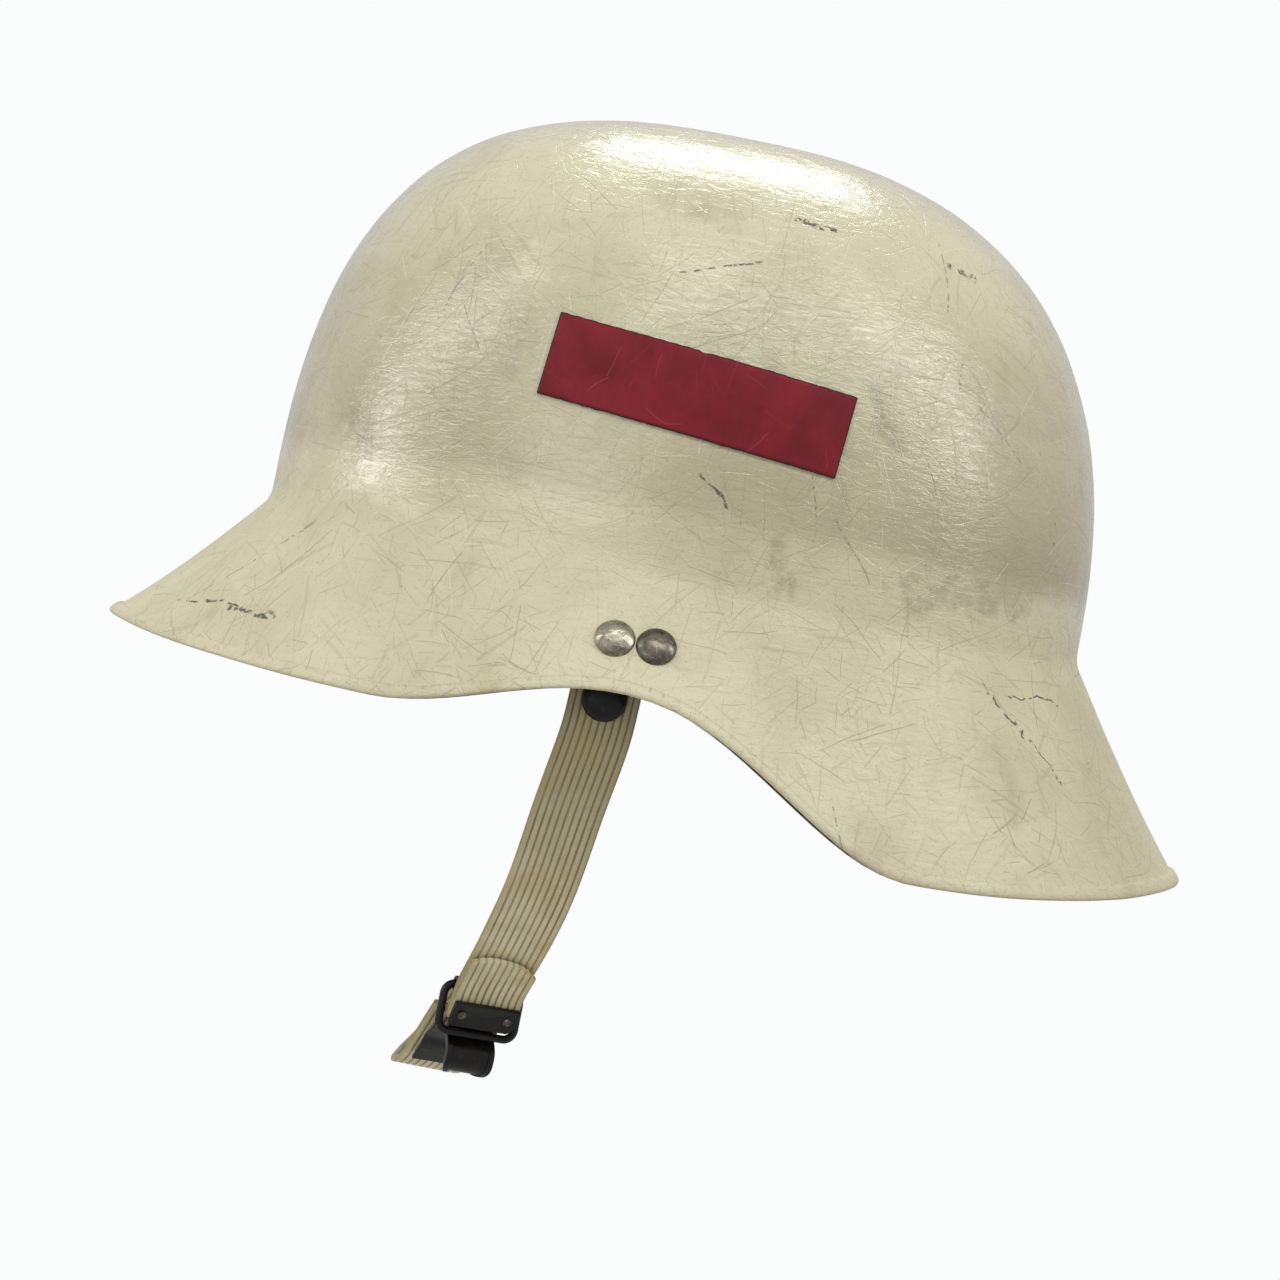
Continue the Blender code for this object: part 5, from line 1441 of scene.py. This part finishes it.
def make_webbing():
    f = Finish("cotton_webbing")
    along = f.attribute("along")
    across = f.attribute("across")
    warp = f.math("SINE", f.math("MULTIPLY", across, math.tau / (1.3 * MM)))
    phase = f.math("MULTIPLY", f.math("SIGN", warp), math.pi / 2)
    weft = f.math("SINE", f.math("ADD", f.math("MULTIPLY", along, math.tau / (1.8 * MM)), phase))
    raised = f.math("ADD", f.math("MULTIPLY", weft, 0.4), 0.6)
    weave = f.math("MULTIPLY", f.math("ABSOLUTE", warp), raised)
    cloudy = f.noise(60.0, 5.0, 0.6)
    colour = f.mix(f.steps(cloudy, 0.35, 0.7), (0.420, 0.385, 0.290), (0.290, 0.260, 0.185))
    colour = f.mix(f.steps(weave, 0.35, 0.0, 0.0, 0.75), colour, (0.11, 0.095, 0.065))
    cord = f.steps(f.math("ABSOLUTE", across), CROWN_WIDTH * 0.40, CROWN_WIDTH * 0.43)
    colour = f.mix(f.math("MULTIPLY", cord, 0.5), colour, (0.16, 0.14, 0.10))
    row = f.math("ABSOLUTE", f.math("SUBTRACT", f.math("ABSOLUTE", across), CROWN_WIDTH * 0.36))
    stitch = f.steps(f.math("ABSOLUTE", f.beat(along, 3.0 * MM)), 0.40, 0.30)
    stitch = f.math("MULTIPLY", stitch, f.steps(row, 0.5 * MM, 0.3 * MM))
    colour = f.mix(stitch, colour, (0.66, 0.62, 0.50))
    fuzz = f.noise(2600.0, 2.0)
    normal = f.bump(weave, 0.30 * MM, 0.9)
    normal = f.bump(fuzz, 0.06 * MM, 0.6, normal)
    normal = f.bump(stitch, 0.25 * MM, 0.8, normal)
    return f.done(colour, 0.88, normal, Sheen_Weight=0.25, Sheen_Roughness=0.5)


webbing = make_webbing()
print("webbing ready")

# %% Crown straps
STRAP_ANGLES = (90.0, 30.0, 150.0)
CROWN_WALL = 1.2 * MM
CROWN_REST = 1.0 * MM
CROWN_LOW = -1.0 * MM
CROWN_SPRING = 16.0 * MM
CROWN_HEIGHT = 103.0 * MM
CROWN_FLAT = 18.0 * MM
CROWN_POWER = 2.2


def crown_half(angle, level):
    x, y = hoop_point(angle, HOOP_WALL)
    ahead = Vector((*hoop_point(angle + 0.01, HOOP_WALL), 0.0))
    behind = Vector((*hoop_point(angle - 0.01, HOOP_WALL), 0.0))
    along = (ahead - behind).normalized()
    outward = along.cross(Vector((0, 0, 1)))
    if outward.dot(Vector((x, y, 0.0))) < 0:
        outward.negate()
    foot = Vector((x, y, 0.0)) - outward * (CROWN_REST + CROWN_WALL / 2)
    radius = foot.length
    heading = foot.normalized()
    path = [Vector((0.0, 0.0, level))]
    for i in range(33):
        turn = math.pi / 2 * i / 32
        out = CROWN_FLAT + (radius - CROWN_FLAT) * math.sin(turn) ** (2.0 / CROWN_POWER)
        high = CROWN_SPRING + (level - CROWN_SPRING) * max(math.cos(turn), 0.0) ** (2.0 / CROWN_POWER)
        path.append(heading * out + Vector((0.0, 0.0, high)))
    path += [heading * radius + Vector((0.0, 0.0, high * MM)) for high in (11.0, 5.0)]
    path.append(heading * radius + Vector((0.0, 0.0, CROWN_LOW)))
    return path, along


for number, degrees in enumerate(STRAP_ANGLES, 1):
    level = CROWN_HEIGHT + (number - 1) * (CROWN_WALL + GAP)
    first, along = crown_half(math.radians(degrees), level)
    second, _ = crown_half(math.radians(degrees + 180.0), level)
    line = ribbon_places(first[::-1] + second[1:], along)
    bm = drawn(rounded_bar(CROWN_WIDTH, CROWN_WALL, 0.5 * MM), line)
    strap = finish_piece("webbing_strap_%d" % number, bm, "helmet", webbing)
    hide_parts("crown_strap_%d" % number)
print("crown straps drawn")

# %% [markdown]
# ## Crown pad
# A round foam pad in dark cloth keeps the straps off the crown of the head. Its cover
# swells between the seams, so a slightly smaller disc is blown up with a short cloth
# simulation, and the quilting is pressed into it afterwards.

# %% Cloth finish
def make_cloth():
    f = Finish("quilted_cloth")
    threads = f.noise(1.0, 2.0, 0.5, stretch=(2600.0, 500.0, 900.0))
    crossing = f.noise(1.0, 2.0, 0.5, stretch=(500.0, 2600.0, 900.0))
    weave = f.math("MULTIPLY", threads, crossing)
    cloudy = f.noise(70.0, 4.0, 0.6)
    colour = f.mix(f.steps(cloudy, 0.35, 0.7), (0.050, 0.051, 0.055), (0.085, 0.084, 0.082))
    colour = f.mix(f.steps(weave, 0.2, 0.36, 0.0, 0.6), colour, (0.15, 0.15, 0.145))
    normal = f.bump(weave, 0.25 * MM, 0.8)
    return f.done(colour, 0.9, normal, Sheen_Weight=0.3, Sheen_Roughness=0.45)


cloth = make_cloth()
print("cloth ready")


# %% Swell the pad
PAD_WALL = 7.0 * MM
PAD_TOP = CROWN_HEIGHT - CROWN_WALL / 2 - GAP
PAD_LINE = (
    (0.0, -0.8), (10.0, -0.8), (20.0, -0.9), (27.0, -1.4),
    (30.0, -3.5), (27.0, -5.4), (16.0, -6.2), (0.0, -6.2),
)
QUILT_PITCH = 16.0 * MM


def swell(piece, cap):
    """Remesh, inflate for twenty frames, and keep each point within its cap."""
    graph_piece = bpy.data.objects.new("swelling", piece.data.copy())
    bpy.context.scene.collection.objects.link(graph_piece)
    remesh = graph_piece.modifiers.new("voxels", "REMESH")
    remesh.mode = "VOXEL"
    remesh.voxel_size = 2.5 * MM
    bpy.context.view_layer.update()
    graph = bpy.context.evaluated_depsgraph_get()
    even = bpy.data.meshes.new_from_object(graph_piece.evaluated_get(graph))
    graph_piece.modifiers.clear()
    graph_piece.data = even
    rest = [vert.co.copy() for vert in even.vertices]
    sim = graph_piece.modifiers.new("cloth", "CLOTH")
    sim.settings.use_pressure = True
    sim.settings.uniform_pressure_force = 4.0
    sim.settings.effector_weights.gravity = 0.0
    scene = bpy.context.scene
    for number in range(1, 21):
        scene.frame_set(number)
    graph = bpy.context.evaluated_depsgraph_get()
    blown = bpy.data.meshes.new_from_object(graph_piece.evaluated_get(graph))
    scene.frame_set(1)
    for vert, start in zip(blown.vertices, rest):
        move = vert.co - start
        if move.length > cap:
            vert.co = start + move.normalized() * cap
    bpy.data.objects.remove(graph_piece, do_unlink=True)
    return blown


def make_pad():
    line = [(radius * MM, height * MM) for radius, height in PAD_LINE]
    bm = turned(line, Matrix.Translation((0.0, 0.0, PAD_TOP)), 64)
    pad = finish_piece("quilted_crown_pad", bm, "helmet", cloth, 80.0)
    pad.data = swell(pad, 0.9 * MM)
    pad.data.materials.clear()
    pad.data.materials.append(cloth)
    pad.data.shade_smooth()
    soften = pad.modifiers.new("soften", "SUBSURF")
    soften.levels = 1
    soften.render_levels = 1
    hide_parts("crown_pad")
    return pad


pad = make_pad()
for vert in pad.data.vertices:
    if vert.co.z < PAD_TOP - PAD_WALL * 0.6:
        seam = min(abs(math.sin(part * math.pi / QUILT_PITCH)) for part in vert.co.xy)
        vert.co.z += 1.2 * MM * max(0.0, 1.0 - seam / 0.45) ** 2
print("pad points:", len(pad.data.vertices))

# %% [markdown]
# ## Studio
# A white surround. Five soft panels in a row form an arch over the front, which draws a
# long bright arc on the dome. Another panel lights the crown and a large weak one fills
# the shadows. The helmet hangs at head height, well above a pale floor.

# %% Surround and floor
world = bpy.data.worlds.new("studio")
bpy.context.scene.world = world
world.use_nodes = True
tree = world.node_tree
surround = tree.nodes["Background"]
surround.inputs["Color"].default_value = (1.0, 1.0, 1.0, 1.0)
surround.inputs["Strength"].default_value = 0.58
seen = tree.nodes.new("ShaderNodeBackground")
seen.inputs["Color"].default_value = (0.965, 0.97, 0.975, 1.0)
path = tree.nodes.new("ShaderNodeLightPath")
choice = tree.nodes.new("ShaderNodeMixShader")
tree.links.new(path.outputs["Is Camera Ray"], choice.inputs[0])
tree.links.new(surround.outputs[0], choice.inputs[1])
tree.links.new(seen.outputs[0], choice.inputs[2])
tree.links.new(choice.outputs[0], tree.nodes["World Output"].inputs["Surface"])

FLOOR_DEPTH = 1.6
floor_finish = Finish("pale_floor")
speckle = floor_finish.noise(40.0, 4.0)
floor_colour = floor_finish.mix(speckle, (0.86, 0.86, 0.86), (0.82, 0.82, 0.825))
floor_finish.done(floor_colour, 0.8, floor_finish.bump(speckle, 0.2 * MM, 0.2))
bm = bmesh.new()
bmesh.ops.create_circle(bm, cap_ends=True, segments=96, radius=3.0)
bmesh.ops.translate(bm, verts=bm.verts[:], vec=(0.0, 0.0, -FLOOR_DEPTH))
floor_mesh = bpy.data.meshes.new("floor")
bm.to_mesh(floor_mesh)
bm.free()
floor = bpy.data.objects.new("floor", floor_mesh)
floor.data.materials.append(floor_finish.material)
bpy.context.scene.collection.objects.link(floor)
print("floor is", FLOOR_DEPTH, "m below the crease")


# %% Lights
def soft_light(name, towards, away, long_side, short_side, power, lean=(0.0, 0.0, 0.0)):
    """A soft panel in a direction from the helmet, its long side along a lean."""
    data = bpy.data.lights.new(name, "AREA")
    data.shape = "RECTANGLE"
    data.size = long_side
    data.size_y = short_side
    data.energy = power
    light = bpy.data.objects.new(name, data)
    z_axis = Vector(towards).normalized()
    x_axis = Vector(lean) - z_axis * Vector(lean).dot(z_axis)
    light.matrix_world = placement_along(z_axis * away + LIGHT_AIM, z_axis, x_axis)
    light.visible_camera = False
    bpy.context.scene.collection.objects.link(light)


LIGHT_AIM = Vector((0.0, 0.0, 40.0 * MM))
ARCH = (
    (-0.99, -0.13, 0.04), (-0.78, -0.45, 0.44), (0.0, -0.63, 0.77),
    (0.50, -0.52, 0.70), (0.79, -0.37, 0.485),
)
for number, towards in enumerate(ARCH):
    before = Vector(ARCH[max(number - 1, 0)])
    after = Vector(ARCH[min(number + 1, len(ARCH) - 1)])
    soft_light("arch_%d" % number, towards, 1.15, 0.62, 0.17, 2.2, after - before)
soft_light("crown_light", (-0.02, 0.46, 0.87), 1.1, 0.50, 0.26, 3.6, (1.0, 0.0, 0.0))
soft_light("front_fill", (-0.35, -0.75, 0.10), 1.8, 0.9, 0.9, 3.5, (1.0, 0.0, 0.0))
bpy.context.scene.view_settings.view_transform = "Standard"
